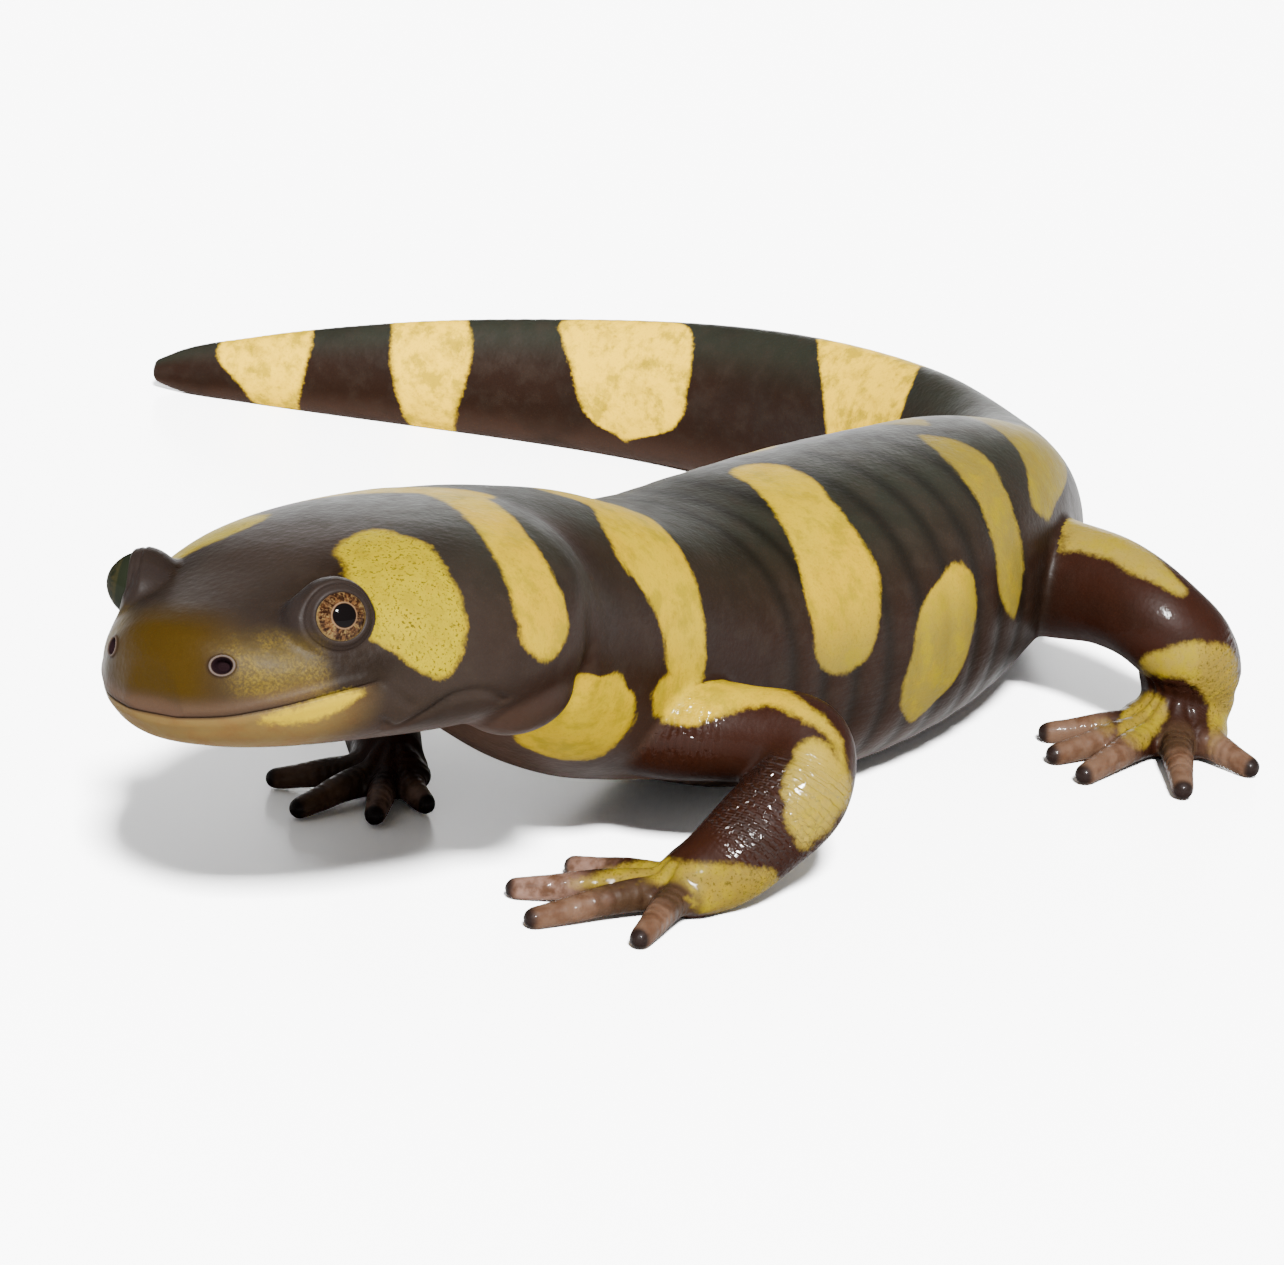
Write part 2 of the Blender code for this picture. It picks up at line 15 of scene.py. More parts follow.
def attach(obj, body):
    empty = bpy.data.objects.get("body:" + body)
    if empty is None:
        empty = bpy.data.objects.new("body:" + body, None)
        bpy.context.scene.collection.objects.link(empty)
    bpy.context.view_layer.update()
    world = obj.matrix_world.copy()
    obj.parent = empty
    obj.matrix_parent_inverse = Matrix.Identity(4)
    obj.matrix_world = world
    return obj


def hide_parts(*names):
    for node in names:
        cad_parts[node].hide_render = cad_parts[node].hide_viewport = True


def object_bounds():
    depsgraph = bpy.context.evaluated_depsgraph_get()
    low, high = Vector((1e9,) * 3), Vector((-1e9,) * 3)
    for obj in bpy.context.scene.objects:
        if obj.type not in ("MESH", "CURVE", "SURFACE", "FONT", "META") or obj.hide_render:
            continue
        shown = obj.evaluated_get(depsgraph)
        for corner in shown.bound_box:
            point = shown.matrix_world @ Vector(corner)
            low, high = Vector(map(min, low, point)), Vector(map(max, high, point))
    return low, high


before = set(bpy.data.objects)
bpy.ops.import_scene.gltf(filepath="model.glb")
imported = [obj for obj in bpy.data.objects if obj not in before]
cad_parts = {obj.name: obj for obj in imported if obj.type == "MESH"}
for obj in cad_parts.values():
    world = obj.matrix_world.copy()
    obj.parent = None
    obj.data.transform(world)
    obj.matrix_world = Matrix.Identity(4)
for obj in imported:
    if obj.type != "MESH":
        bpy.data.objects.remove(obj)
cad_low, cad_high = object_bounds()

MM = 0.001
SIDES = (1, -1)
# Where the frame's origin lies, seen from the point between the shoulders.
ORIGIN_X = -33.19
ORIGIN_Y = 24.84
TO_METRES = Matrix.Diagonal((MM, MM, MM, 1)) @ Matrix.Translation((-ORIGIN_X, -ORIGIN_Y, 0))
VOXEL = 0.23
# The smoothing reaches as far as 8 rounds do at a voxel of 0.35.
SMOOTH_ROUNDS = int(round(8 * (0.35 / VOXEL) ** 2))
# The skin stays this far inside the box of the solids.
BOX_MARGIN = 0.002

HEAD_LENGTH = 27.0
NECK_LENGTH = 9.9
TAIL_END = 165.4
HEAD_HEADING = 88.84
HEAD_ROLL = 7.0
MOUTH_LEVEL = 18.76

SPINE_STEP = 0.25
SPINE_SPARE = 4.0
BODY_AROUND = 96
HEAD_RINGS = np.concatenate([np.linspace(26.9, 24, 9), np.linspace(23.2, 0.6, 26)])
TRUNK_RINGS = np.concatenate([np.arange(-9.1, 50, 0.3), np.arange(50, 160, 0.75), np.linspace(161, 165, 5)])

SPINE_HEADING = [(-40, HEAD_HEADING), (-10, HEAD_HEADING), (-5, 86.5), (0, 91.5), (24.2, 85.5), (48.3, 94.9),
                 (74.3, 138.8), (96.3, 165.6), (126.3, 198.9), (165.4, 201.1)]
# Trunk and tail: place along the spine, half width, height of the top and of the underside.
TRUNK = [
    (-9.9, 12.3, 26.6, 11.6), (-6, 11.1, 26, 8.6), (-2, 10.6, 25.2, 6), (3, 10.7, 24, 4.3),
    (9, 11.4, 21.9, 2.8), (16, 12.4, 20.8, 0.6), (24, 12.9, 21, -0.35), (34, 12.4, 21.4, -0.35),
    (42, 10.8, 21.4, 0.1), (49, 9.2, 21, 1.2), (56, 7.7, 19.5, 1.4), (62, 6.7, 17.6, 0.5),
    (70, 5.8, 16.2, -0.2), (86, 4.8, 15.4, -0.35), (105, 4.1, 14, -0.35), (125, 3.3, 11.6, -0.35),
    (143, 2.6, 8.9, -0.3), (156, 1.9, 5.9, -0.2), (162.5, 1.3, 3.9, 0), (165, 0.7, 2.6, 0.6),
]
# Head: distance ahead, half width, rise above the mouth and drop below it.
HEAD = [
    (0, 12.6, 7.9, 6.9), (4, 13.4, 8.1, 6.2), (8, 13.7, 8.1, 5.4), (12, 13.2, 7.8, 5),
    (16, 12, 7.1, 4.6), (19, 10.7, 6.1, 4.3), (22, 8.9, 5.3, 3.9), (24.5, 6.7, 4.7, 3.3),
    (26.1, 4.4, 3.9, 2.6), (26.9, 2.2, 2.6, 1.6),
]
# How square the sections are: 2 is an ellipse.
HEAD_POWER = [(0, 2.35), (12, 2.5), (27, 2.2)]
TRUNK_POWER = [(-9, 2.35), (20, 2.3), (45, 2.25), (70, 2), (165, 2)]
# The head's roll fades out over this length of the neck.
ROLL_RUN = 9
FOLD_AT = -9.9
FOLD_DEPTH = 1.1
FOLD_LENGTH = 1.1
FOLD_TOP = 0.55
KEEL_START = 60.0
KEEL_RUN = 20.0
KEEL_DEPTH = 0.28
RIB_FIRST = 10.0
RIB_LAST = 46.0
RIB_SPACING = 3.6
RIB_DEPTH = 0.15
RIB_HALF_WIDTH = 0.75
RIB_FADE = 4
# Points of the head: ahead of the skull's base, sideways and above the mouth.
CHEEK = (4.6, 9.6, -3)
CHEEK_RADIUS = 4.0
CHEEK_SHAPE = (0.8, 1.15, 0.72)

EYE = (19.3, 8, 4.5)
EYE_RADIUS = 2.15
EYE_AXIS = {1: (0.46, 0.86, 0.25), -1: (0.52, 0.82, 0.2)}
# Painted shade: the right eye is turned dark green.
EYE_PAINTED_SHADE = {1: 0, -1: 0.86}
CORNEA_BULGE = 0.16
CORNEA_SPREAD = 34.0
PUPIL_EDGE = 19.2
IRIS_EDGE = 48.0
# Radius of the circle on which the iris threads lie, and millimetres for each degree from the axis.
THREAD_CIRCLE = 1.6
THREAD_RISE = 0.016

LID_RADIUS = 2.52
LID_FRONT = {1: (20, 7.2, 4.15), -1: (20.4, 7.1, 4.1)}
LID_FRONT_RADIUS = 2.14
# Angle from the eye's axis where the lids end: the right lids stand further open.
LID_EDGE = {1: 46.5, -1: 72.0}
LID_CREST = 7
LID_OVAL = 0.1
LID_PLUMP = 0.2
LID_CREASE = 0.1
LID_REACH = 3.6
# How deep the skin lies inside the eyeball at the lids' edge, and how much deeper behind the pupil.
LID_TUCK = (0.42, 0.25)

# Line of the mouth: distance ahead and height.
MOUTH_LINE = [(18.2, 0.62), (18.7, 0.65), (20, 0.5), (22, 0.15), (24.5, -0.4), (26.1, -0.8), (27.5, -1.1)]
# Section through the lips: rise, height above the line and half width.
LIP_SECTION = [(-0.15, 0, 0.08), (0.1, 0.42, 0.3), (0.07, -0.48, 0.34)]
MOUTH_CORNER = -0.22
NOSTRIL = (24.9, 4.15, 2.1)
NOSTRIL_SIZE = (0.66, 0.52)
NOSTRIL_DEPTH = 0.6
NOSTRIL_RIM_RISE = 0.12
# Creases of the skin behind the jaw: a path in the head's frame, its depth and half width.
CREASES = [
    ([(18, 10.3, -1.6), (16.8, 10.4, -2.9), (15.4, 11.6, -2), (13.7, 12.6, -1.1), (11.4, 13, -1.2),
      (9.25, 12.8, -2.3)], 0.3, 0.34),
    ([(18.3, 10.6, 0.5), (17.3, 11.2, -0.3), (16.6, 11.6, -1.2)], 0.2, 0.3),
]

# Limbs: x, y, z and radius from the root inside the trunk to the palm or sole, and the tips of the digits.
ARM_LEFT = [(5, 2.6, 10.3, 4.3), (8.6, 3.3, 9.9, 3.7), (13.2, 5.4, 10, 3.3), (17.6, 6.6, 9.8, 3.25),
            (18.5, 5, 7.6, 3.4), (17.4, 2.6, 5.1, 3.3), (16.3, 0.2, 3.1, 3), (15, -1.9, 1.8, 2.5)]
FINGERS_LEFT = [(6.1, -2.7), (5.9, -8.7), (10, -11.9), (16.9, -9.6)]
ARM_RIGHT = [(-5, 2.6, 10.3, 4.3), (-8.8, 3.8, 9.9, 3.7), (-13.6, 6.6, 10, 3.2), (-18.8, 8.8, 9.6, 3.1),
             (-20.2, 7.6, 7.4, 3.1), (-18.6, 5.1, 5, 2.9), (-15.4, 2.7, 3.1, 2.7), (-12.6, 0.4, 1.8, 2.4)]
FINGERS_RIGHT = [(-8.2, -1), (-9.2, -5.2), (-13.6, -8), (-18.6, -4.8)]
LEG_LEFT = [(3.6, 51.5, 10.2, 5), (8.4, 51.6, 10, 4.6), (14, 51.2, 10.2, 4.1), (18.8, 50.4, 9.1, 3.7),
            (20.5, 51.4, 7.3, 3.7), (20.4, 52.6, 5, 3.8), (20.4, 52.4, 3.1, 3.5), (20.6, 50.4, 1.8, 3)]
TOES_LEFT = [(13.7, 44.3), (16.7, 40.6), (20.5, 38.6), (27.1, 41.2), (28.1, 49)]
LEG_RIGHT = [(-4.4, 51, 10.2, 5), (-9.2, 50.4, 10, 4.6), (-14.6, 49, 10.2, 4.1), (-19.4, 47.6, 9.1, 3.7),
             (-21.2, 48.4, 7.3, 3.7), (-21.3, 49.8, 5, 3.8), (-21.2, 49.8, 3.1, 3.5), (-21.2, 47.8, 1.8, 3)]
TOES_RIGHT = [(-14.2, 42.4), (-16.8, 38.2), (-20.6, 36), (-26.6, 38.2), (-28.6, 45.6)]
# Radius of the digits at their root and tip, and of the palm or sole.
HAND_SIZES = (1.25, 0.8, 3)
FOOT_SIZES = (1.4, 0.85, 4.2)
PALM_HEIGHT = 1.5
PALM_FLATNESS = 0.52
# Shares of the way from palm to tip where a digit starts, arches and lies down.
DIGIT_ROOT = 0.18
DIGIT_ARCH = 0.52
DIGIT_END = 0.82
DIGIT_ARCH_HEIGHT = 1.35
DIGIT_SETTLE = 0.1
DIGIT_GROOVE = 0.26
# Levels of the limbs along the trunk, how far they spread from there, and where hand or foot begins.
ARM_LEVEL = 3
LEG_LEVEL = 49
LIMB_SPREAD = 18
HAND_FROM = 5.6

# Yellow bars of the trunk: angle from the ridge of the back, middle along the spine, half width.
BODY_BARS = {
    "nape": [(-12, -9.6, 1.9), (6, -10.7, 1.9), (19, -12.2, 2), (38, -14.7, 2.2), (50, -15.7, 2.4),
             (66, -16.1, 2.6), (76, -16.1, 2.4), (83, -16, 2)],
    "shoulder": [(-12, 3, 3), (7, 3.7, 3.5), (14, 4, 3.4), (30, 2.2, 3.6), (49, 1, 3.5),
                 (62, 1.3, 2.7), (79, 1.7, 2.1), (97, 1.8, 1.9)],
    "arm_root": [(90, 1.1, 1.9), (98, 0.9, 2.2), (110, 0.4, 1.6)],
    "flank_front": [(-14, 25.6, 2), (0, 25.4, 2.4), (12, 24.4, 2.8), (25, 22.9, 2.9), (40, 21.6, 3.4),
                    (53, 20.8, 4), (68, 19.9, 3.7), (79, 19.4, 3.2), (87, 19.2, 2.6)],
    "flank_low": [(61, 32.8, 1.7), (65, 32.2, 2.6), (72, 31.4, 3.4), (84, 30.9, 3.8), (97, 30.1, 3.8),
                  (108, 29.6, 3), (119, 29.2, 0.4)],
    "groin": [(5, 41.8, 0.3), (15, 42, 1.5), (28, 41.9, 2.2), (43, 41.2, 2.1), (60, 40.6, 2),
              (80, 40.4, 1.9), (94, 41, 0.4)],
    "rump": [(-6, 56.5, 5.2), (8, 57.3, 6.6), (26, 56, 6.5), (44, 53.2, 5.6), (55, 50.2, 4.4),
             (62, 48.2, 2), (66, 47.8, 0.4)],
    "chest": [(95, -5, 1), (100, -5.6, 2.6), (106, -6.2, 3.6), (115, -6.3, 3.8), (125, -6.4, 3.7),
              (134, -6.4, 3.4), (145, -6.7, 2.6), (156, -7.2, 1.2)],
}
# How far the right side's bars are moved along the body and away from the ridge.
RIGHT_SHIFT = {"nape": (0.6, 0), "shoulder": (1.5, 0), "arm_root": (0, 0), "flank_front": (6.5, 38),
               "flank_low": (3.4, 2), "groin": (3, -4), "rump": (1.5, 0), "chest": (1.2, -4)}
# Bars of the tail, alike on both sides: angle from the ridge, middle along the spine, half width.
TAIL_BARS = [
    [(0, 94.8, 6.8), (35, 92.1, 6.7), (75, 89.4, 5.8), (180, 88.8, 3.8)],
    [(0, 121.5, 6.4), (38, 119.8, 6.4), (80, 118.6, 5.8), (100, 118.4, 5.1), (112, 118.7, 4),
     (124, 119.2, 1.6), (128, 119.3, 0.2)],
    [(0, 139.2, 3.4), (60, 138.3, 3.7), (120, 138.2, 2.6), (180, 138.2, 1.8)],
    [(0, 154.3, 4.3), (60, 154, 4.3), (115, 153.1, 2.7), (180, 152.8, 1.8)],
]
# Cheek patch seen from its side: height above the mouth, middle ahead of the skull base, half width.
CHEEK_BAR = [(0.3, 14.7, 0.9), (1.2, 14.9, 1.7), (2.2, 15, 2.2), (3.2, 15.3, 3), (4.5, 15.3, 3.5),
             (5.5, 14.6, 3.2), (6.5, 13.3, 2.6), (7.2, 12.4, 2.5), (7.8, 11.9, 1.9), (8.5, 11.6, 1.5)]
# How far from the middle of the head the patch ends.
CHEEK_TOP = {1: 3.4, -1: 4.6}
HEAD_MARKS_FROM = 9.0
# Pale stripe along the rear of the lower jaw: ahead, middle height, half width.
JAW_BAR = [(19.6, 0.15, 0.05), (20.3, 0, 0.38), (21.7, -0.5, 0.62), (23, -0.8, 0.5), (24.4, -0.9, 0.2)]
JAW_BAR_SIDE = 6.0
# Depth given to places outside every mark, and rounding of the marks' corners.
FAR = 3.0
BAND_CORNER = 2.2
CHEEK_CORNER = 1.3

# Patches of the left limbs, seen from the front left in a slanting plane: across, up and radius.
SLANT_ACROSS = Vector((0.809, 0.588, 0))
SLANT_UP = Vector((-0.184, 0.253, 0.95))
ARM_PATCHES = [
    [(8.6, 10.1, 1.2), (10.4, 10.3, 1.5), (12.3, 10.9, 1.2), (14, 11.2, 0.9), (16.3, 11, 0.6),
     (18.8, 9.7, 0.4), (20.1, 8.5, 0.25), (20.5, 7, 0.3)],
    [(18.6, 7.2, 1.3), (18.9, 5.4, 2.3), (18.6, 3.6, 1.7), (18.3, 1.9, 0.6)],
    [(15.9, -1.1, 1), (14, -1.5, 1.6), (12.2, -1.7, 1.6), (9.6, -0.7, 0.8), (7.2, -1.1, 0.6),
     (5, -1.7, 0.4), (3.4, -2.1, 0.35)],
]
LEG_PATCHES = [
    [(30.6, 21.8, 1.5), (32.8, 22.8, 1.4), (35.4, 23.9, 1.3), (38.5, 24.4, 1.5), (41, 23.7, 1.3),
     (43.4, 22.2, 1.1), (45.8, 20.4, 0.4)],
    [(44.2, 15, 0.8), (47, 15.4, 1.4), (48.8, 14.8, 1.9), (49.9, 12.6, 1.2), (50, 10.6, 1.2),
     (49.6, 9.3, 1)],
    [(44.4, 11.6, 1.2), (43.2, 9.9, 1.2)],
    [(39.8, 10, 0.6), (41, 10.1, 0.6)],
]

Limb = namedtuple("Limb", "kind points tips sizes twin patches side")
LIMBS = [
    Limb("arm", ARM_LEFT, FINGERS_LEFT, HAND_SIZES, ARM_LEFT, ARM_PATCHES, 1),
    Limb("arm", ARM_RIGHT, FINGERS_RIGHT, HAND_SIZES, ARM_LEFT, ARM_PATCHES, -1),
    Limb("leg", LEG_LEFT, TOES_LEFT, FOOT_SIZES, LEG_LEFT, LEG_PATCHES, 1),
    Limb("leg", LEG_RIGHT, TOES_RIGHT, FOOT_SIZES, LEG_LEFT, LEG_PATCHES, -1),
]

# Colours of the skin.
DARK_RIDGE = (0.004, 0.0041, 0.0027)
DARK_SIDE = (0.0034, 0.0014, 0.0007)
DARK_HEAD = (0.0054, 0.0037, 0.0028)
DARK_TEMPLE = (0.0019, 0.0008, 0.0002)
DARK_DEEP = (0.0018, 0.0013, 0.0009)
# Painted shade laid into the grooves between the ribs.
GROOVE_SHADE = (0.001, 0.0008, 0.0005)
DARK_PALE = (0.0068, 0.0046, 0.0032)
DARK_BELLY = (0.0108, 0.0058, 0.004)
DARK_LIMB = (0.0046, 0.0013, 0.0006)
YELLOW = (0.106, 0.066, 0.0001)
YELLOW_PALE = (0.106, 0.071, 0.0004)
YELLOW_CHEEK = (0.076, 0.057, 0.0001)
YELLOW_EDGE = (0.03, 0.0188, 0.0015)
SNOUT_OLIVE = (0.019, 0.012, 0.0012)
SNOUT_GOLD = (0.04, 0.0265, 0.002)
OLIVE = (0.0088, 0.0046, 0.0003)
TAN = (0.031, 0.0195, 0.0062)
PINK = (0.048, 0.0275, 0.02)
# Duller yellow of the rear bars, and painted shade darkening the bars low on the flanks.
YELLOW_DULL_SHADED = (0.034, 0.026, 0.0048)
YELLOW_OCHRE = (0.064, 0.042, 0.0002)
YELLOW_CLOUD = (0.056, 0.0415, 0.0003)
YELLOW_FLECK = (0.012, 0.009, 0.0004)
YELLOW_JAW = (0.1, 0.068, 0.001)
YELLOW_TAIL = (0.235, 0.145, 0.0006)
# Duller yellow further out on the limbs and on hands and feet: partly their own colour, partly painted shade.
YELLOW_LIMB_SHADED = (0.058, 0.041, 0.0062)
YELLOW_FOOT_SHADED = (0.036, 0.0235, 0.0028)
DIGIT_BROWN = (0.019, 0.0102, 0.0052)
DIGIT_STAIN = (0.0095, 0.005, 0.0026)
DIGIT_SPOT = (0.017, 0.008, 0.0042)
TIP = (0.0028, 0.0016, 0.0013)
# Painted shade inside the nostril pits; also the darker ring round their rims.
NOSTRIL_SHADE_AND_DARK = (0.0024, 0.0012, 0.0014)
# Pale rim of the nostrils: a painted highlight.
NOSTRIL_RIM_HIGHLIGHT = (0.045, 0.034, 0.028)
LIP_PINK = (0.0178, 0.0102, 0.0058)
TAN_DEEP = (0.03, 0.0165, 0.0052)
MOUTH_DARK = (0.0036, 0.0016, 0.0009)
LID_GREY = (0.0042, 0.0029, 0.0024)
# Colours of the eyes.
IRIS_DARK = (0.003, 0.0012, 0.0006)
IRIS_BROWN = (0.016, 0.0078, 0.0034)
IRIS_COPPER = (0.0225, 0.01, 0.0036)
IRIS_GOLD = (0.042, 0.03, 0.0105)
IRIS_OUTER = (0.033, 0.0225, 0.0075)
IRIS_INNER = (0.036, 0.021, 0.011)
PUPIL = (0.0008, 0.0006, 0.0006)
EYE_REST = (0.004, 0.0026, 0.002)
# Dark green of the right eye's painted shade.
SHADED_IRIS = (0.0026, 0.0035, 0.0019)

CAMERA_PLACE = (173.4, -227.1, 109.52)
CAMERA_TOWARD = (-0.558298, 0.768431, -0.312758)
CAMERA_ROLL = 3.936
CAMERA_LENS = 126.25

# Floor and lights are in metres and watts.
FLOOR_HALF = 6.0
FLOOR_GAP = 0.00004
FLOOR_WHITE = (0.93, 0.93, 0.93)
SKY_STRENGTH = 0.75
KEY_PLACE = (2.03, -2.17, 2.68)
KEY_POWER = 2300.0
KEY_SIZE = 0.5
BACK_PLACE = (-1.5, 2.06, 0.4)
BACK_POWER = 29.0
BACK_SIZE = (1.3, 0.45)


def curve(table, at):
    """Smooth interpolation of a table whose first column is the argument."""
    rows = np.array(table, float)
    x = rows[:, 0]
    slope = np.gradient(rows[:, 1:], x, axis=0)
    at = np.clip(np.atleast_1d(np.asarray(at, float)), x[0], x[-1])
    i = np.clip(np.searchsorted(x, at, side="right") - 1, 0, len(x) - 2)
    step = (x[i + 1] - x[i])[:, None]
    t = ((at - x[i])[:, None]) / step
    return ((2 * t**3 - 3 * t**2 + 1) * rows[i, 1:] + (t**3 - 2 * t**2 + t) * step * slope[i]
            + (3 * t**2 - 2 * t**3) * rows[i + 1, 1:] + (t**3 - t**2) * step * slope[i + 1])


def ramp(x, low, high):
    """Smooth step from 0 at low to 1 at high."""
    t = np.clip((x - low) / (high - low), 0, 1)
    return t * t * (3 - 2 * t)


def fall(x, low, high):
    """Smooth step from 1 at low to 0 at high."""
    return 1 - ramp(x, low, high)


def bump_at(x, middle, width):
    """Bell of height 1 around middle."""
    return np.exp(-((x - middle) / width) ** 2)


SPINE_S = np.arange(-NECK_LENGTH - HEAD_LENGTH - SPINE_SPARE, TAIL_END + 1.0, SPINE_STEP)
SPINE_TURN = np.radians(curve(SPINE_HEADING, SPINE_S)[:, 0])


def spine_line(part):
    """One coordinate of the spine's floor plan, zero between the shoulders."""
    line = np.concatenate([[0], np.cumsum(part((SPINE_TURN[1:] + SPINE_TURN[:-1]) / 2)) * SPINE_STEP])
    return line - np.interp(0, SPINE_S, line)


SPINE_X = spine_line(np.cos)
SPINE_Y = spine_line(np.sin)


def spine_point(s):
    """Floor place and heading of the spine."""
    turn = np.interp(s, SPINE_S, SPINE_TURN)
    return np.interp(s, SPINE_S, SPINE_X), np.interp(s, SPINE_S, SPINE_Y), turn


def head_frame():
    """Base point of the head with its forward, left and up directions."""
    x, y, turn = spine_point(-NECK_LENGTH)
    forward = Vector((-math.cos(turn), -math.sin(turn), 0.0))
    left = Vector((-forward.y, forward.x, 0.0))
    roll = math.radians(HEAD_ROLL)
    up = Vector((0, 0, 1))
    rolled_left = left * math.cos(roll) + up * math.sin(roll)
    rolled_up = up * math.cos(roll) - left * math.sin(roll)
    return Vector((x, y, MOUTH_LEVEL)), forward, rolled_left, rolled_up


BASE, FORWARD, LEFT, UP = head_frame()


def head_point(ahead, side, up):
    return BASE + FORWARD * ahead + LEFT * side + UP * up


def head_places(p):
    """Ahead, sideways and up of each point in the head's own frame."""
    q = p - np.array(BASE)
    return q @ np.array(FORWARD), q @ np.array(LEFT), q @ np.array(UP)


def on_side(place, side):
    """A point of the head, given as on the left, on either side."""
    ahead, across, up = place
    return head_point(ahead, side * across, up)


def distance(p, middle):
    return np.linalg.norm(p - np.array(middle), axis=1)


def eye_axis(side):
    ahead, across, up = EYE_AXIS[side]
    return (FORWARD * ahead + LEFT * across * side + UP * up).normalized()


def superellipse(angle, width, top, bottom, power):
    c, s = math.cos(angle), math.sin(angle)
    across = width * math.copysign(abs(c) ** (2 / power), c)
    high = (top if s > 0 else bottom) * math.copysign(abs(s) ** (2 / power), s)
    return across, high


def rib_groove(s):
    """Depth of the grooves between the ribs, fading at both ends."""
    phase = (s - RIB_FIRST) / RIB_SPACING
    fade = np.clip(np.minimum(s - RIB_FIRST, RIB_LAST - s) / RIB_FADE, 0, 1)
    return RIB_DEPTH * fade * np.exp(-((phase - np.round(phase)) * RIB_SPACING / RIB_HALF_WIDTH) ** 2)


def folded(s, across, high, width, half):
    """Draw a section point in at the throat fold and the rib grooves."""
    low = min(max(FOLD_TOP - high / half, 0), 1)
    shrink = FOLD_DEPTH * low * math.exp(-((s - FOLD_AT) / FOLD_LENGTH) ** 2)
    shrink += rib_groove(s) * max(1 - abs(high / half) ** 2, 0)
    return across * (1 - shrink / width), high * (1 - shrink / half)


def head_ring(ahead, angles):
    width, top, bottom = curve(HEAD, ahead)[0]
    power = np.interp(ahead, *zip(*HEAD_POWER))
    ring = []
    for angle in angles:
        across, high = superellipse(angle, width, top, bottom, power)
        across, high = folded(-NECK_LENGTH - ahead, across, high, width, (top + bottom) / 2)
        ring.append(head_point(ahead, across, high))
    return ring


def trunk_ring(s, angles):
    width, top, bottom = curve(TRUNK, s)[0]
    x, y, turn = spine_point(s)
    roll = math.radians(HEAD_ROLL) * float(np.clip(-s / ROLL_RUN, 0, 1))
    middle = (top + bottom) / 2
    half = (top - bottom) / 2
    power = np.interp(s, *zip(*TRUNK_POWER))
    side = Vector((math.sin(turn), -math.cos(turn), 0.0))
    ring = []
    for angle in angles:
        across, high = superellipse(angle, width, half, half, power)
        if s > KEEL_START and high > 0:
            across *= 1 - KEEL_DEPTH * (high / half) ** 2 * min((s - KEEL_START) / KEEL_RUN, 1)
        across, high = folded(s, across, high, width, half)
        sideways = across * math.cos(roll) - high * math.sin(roll)
        upwards = across * math.sin(roll) + high * math.cos(roll)
        ring.append(Vector((x, y, middle + upwards)) + side * sideways)
    return ring


def body_rings():
    angles = [2 * math.pi * k / BODY_AROUND for k in range(BODY_AROUND)]
    return [head_ring(ahead, angles) for ahead in HEAD_RINGS] + [trunk_ring(s, angles) for s in TRUNK_RINGS]


def add_tube(bm, rings):
    """Closed tube through equal rings with a fan at either end."""
    rows = [[bm.verts.new(p) for p in ring] for ring in rings]
    n = len(rows[0])
    for a, b in zip(rows, rows[1:]):
        for k in range(n):
            bm.faces.new((a[k], a[(k + 1) % n], b[(k + 1) % n], b[k]))
    for row in (rows[0], rows[-1]):
        centre = bm.verts.new(sum((v.co for v in row), Vector()) / n)
        for k in range(n):
            pair = (row[k], row[(k + 1) % n])
            bm.faces.new((pair[1], pair[0], centre) if row is rows[0] else (pair[0], pair[1], centre))


def limb_rings(points, around=32, step=0.4):
    """Round sections along a smooth path given as x, y, z, radius."""
    rows = np.array(points, float)
    length = np.concatenate([[0], np.cumsum(np.linalg.norm(np.diff(rows[:, :3], axis=0), axis=1))])
    at = np.linspace(0, length[-1], max(int(length[-1] / step), 6))
    path = curve(np.column_stack([length, rows]), at)
    angles = [2 * math.pi * k / around for k in range(around)]
    rings = []
    for p, d in zip(path, np.gradient(path[:, :3], axis=0)):
        d = Vector(d).normalized()
        side = d.cross(Vector((0, 0, 1)))
        if side.length < 1e-3:
            side = Vector((1, 0, 0))
        side.normalize()
        over = side.cross(d).normalized()
        middle = Vector(p[:3])
        rings.append([middle + side * p[3] * math.cos(a) + over * p[3] * math.sin(a) for a in angles])
    return rings


def add_ball(bm, centre, radius, axes=(1, 1, 1), detail=4):
    made = bmesh.ops.create_icosphere(bm, subdivisions=detail, radius=radius)
    for v in made["verts"]:
        v.co = Vector((v.co.x * axes[0], v.co.y * axes[1], v.co.z * axes[2])) + Vector(centre)


def add_digit(bm, palm, tip, root_radius, tip_radius):
    """A finger or toe that leaves the palm, arches and lies down."""
    reach = tip - Vector((palm.x, palm.y, tip.z))
    root = palm + reach * DIGIT_ROOT
    arch = palm + reach * DIGIT_ARCH
    points = [(root.x, root.y, PALM_HEIGHT, root_radius),
              (arch.x, arch.y, DIGIT_ARCH_HEIGHT, root_radius * 0.86),
              (palm.x + reach.x * DIGIT_END, palm.y + reach.y * DIGIT_END, tip_radius + DIGIT_SETTLE,
               tip_radius * 1.12),
              (tip.x, tip.y, tip.z, tip_radius)]
    add_tube(bm, limb_rings(points, around=20, step=0.3))
    add_ball(bm, tip, tip_radius, detail=3)


def add_limb(bm, points, tips, root_radius, tip_radius, palm_radius):
    """A limb with its digits, and a flat pad at the palm or sole."""
    add_tube(bm, limb_rings(points))
    for end in (points[0], points[-1]):
        add_ball(bm, end[:3], end[3] * 0.98)
    palm = Vector(points[-1][:3])
    for x, y in tips:
        add_digit(bm, palm, Vector((x, y, tip_radius - DIGIT_SETTLE)), root_radius, tip_radius)
    add_ball(bm, (palm.x, palm.y, PALM_HEIGHT), palm_radius, (1.0, 1.0, PALM_FLATNESS))


def link(name, mesh):
    obj = bpy.data.objects.new(name, mesh)
    bpy.context.scene.collection.objects.link(obj)
    return obj


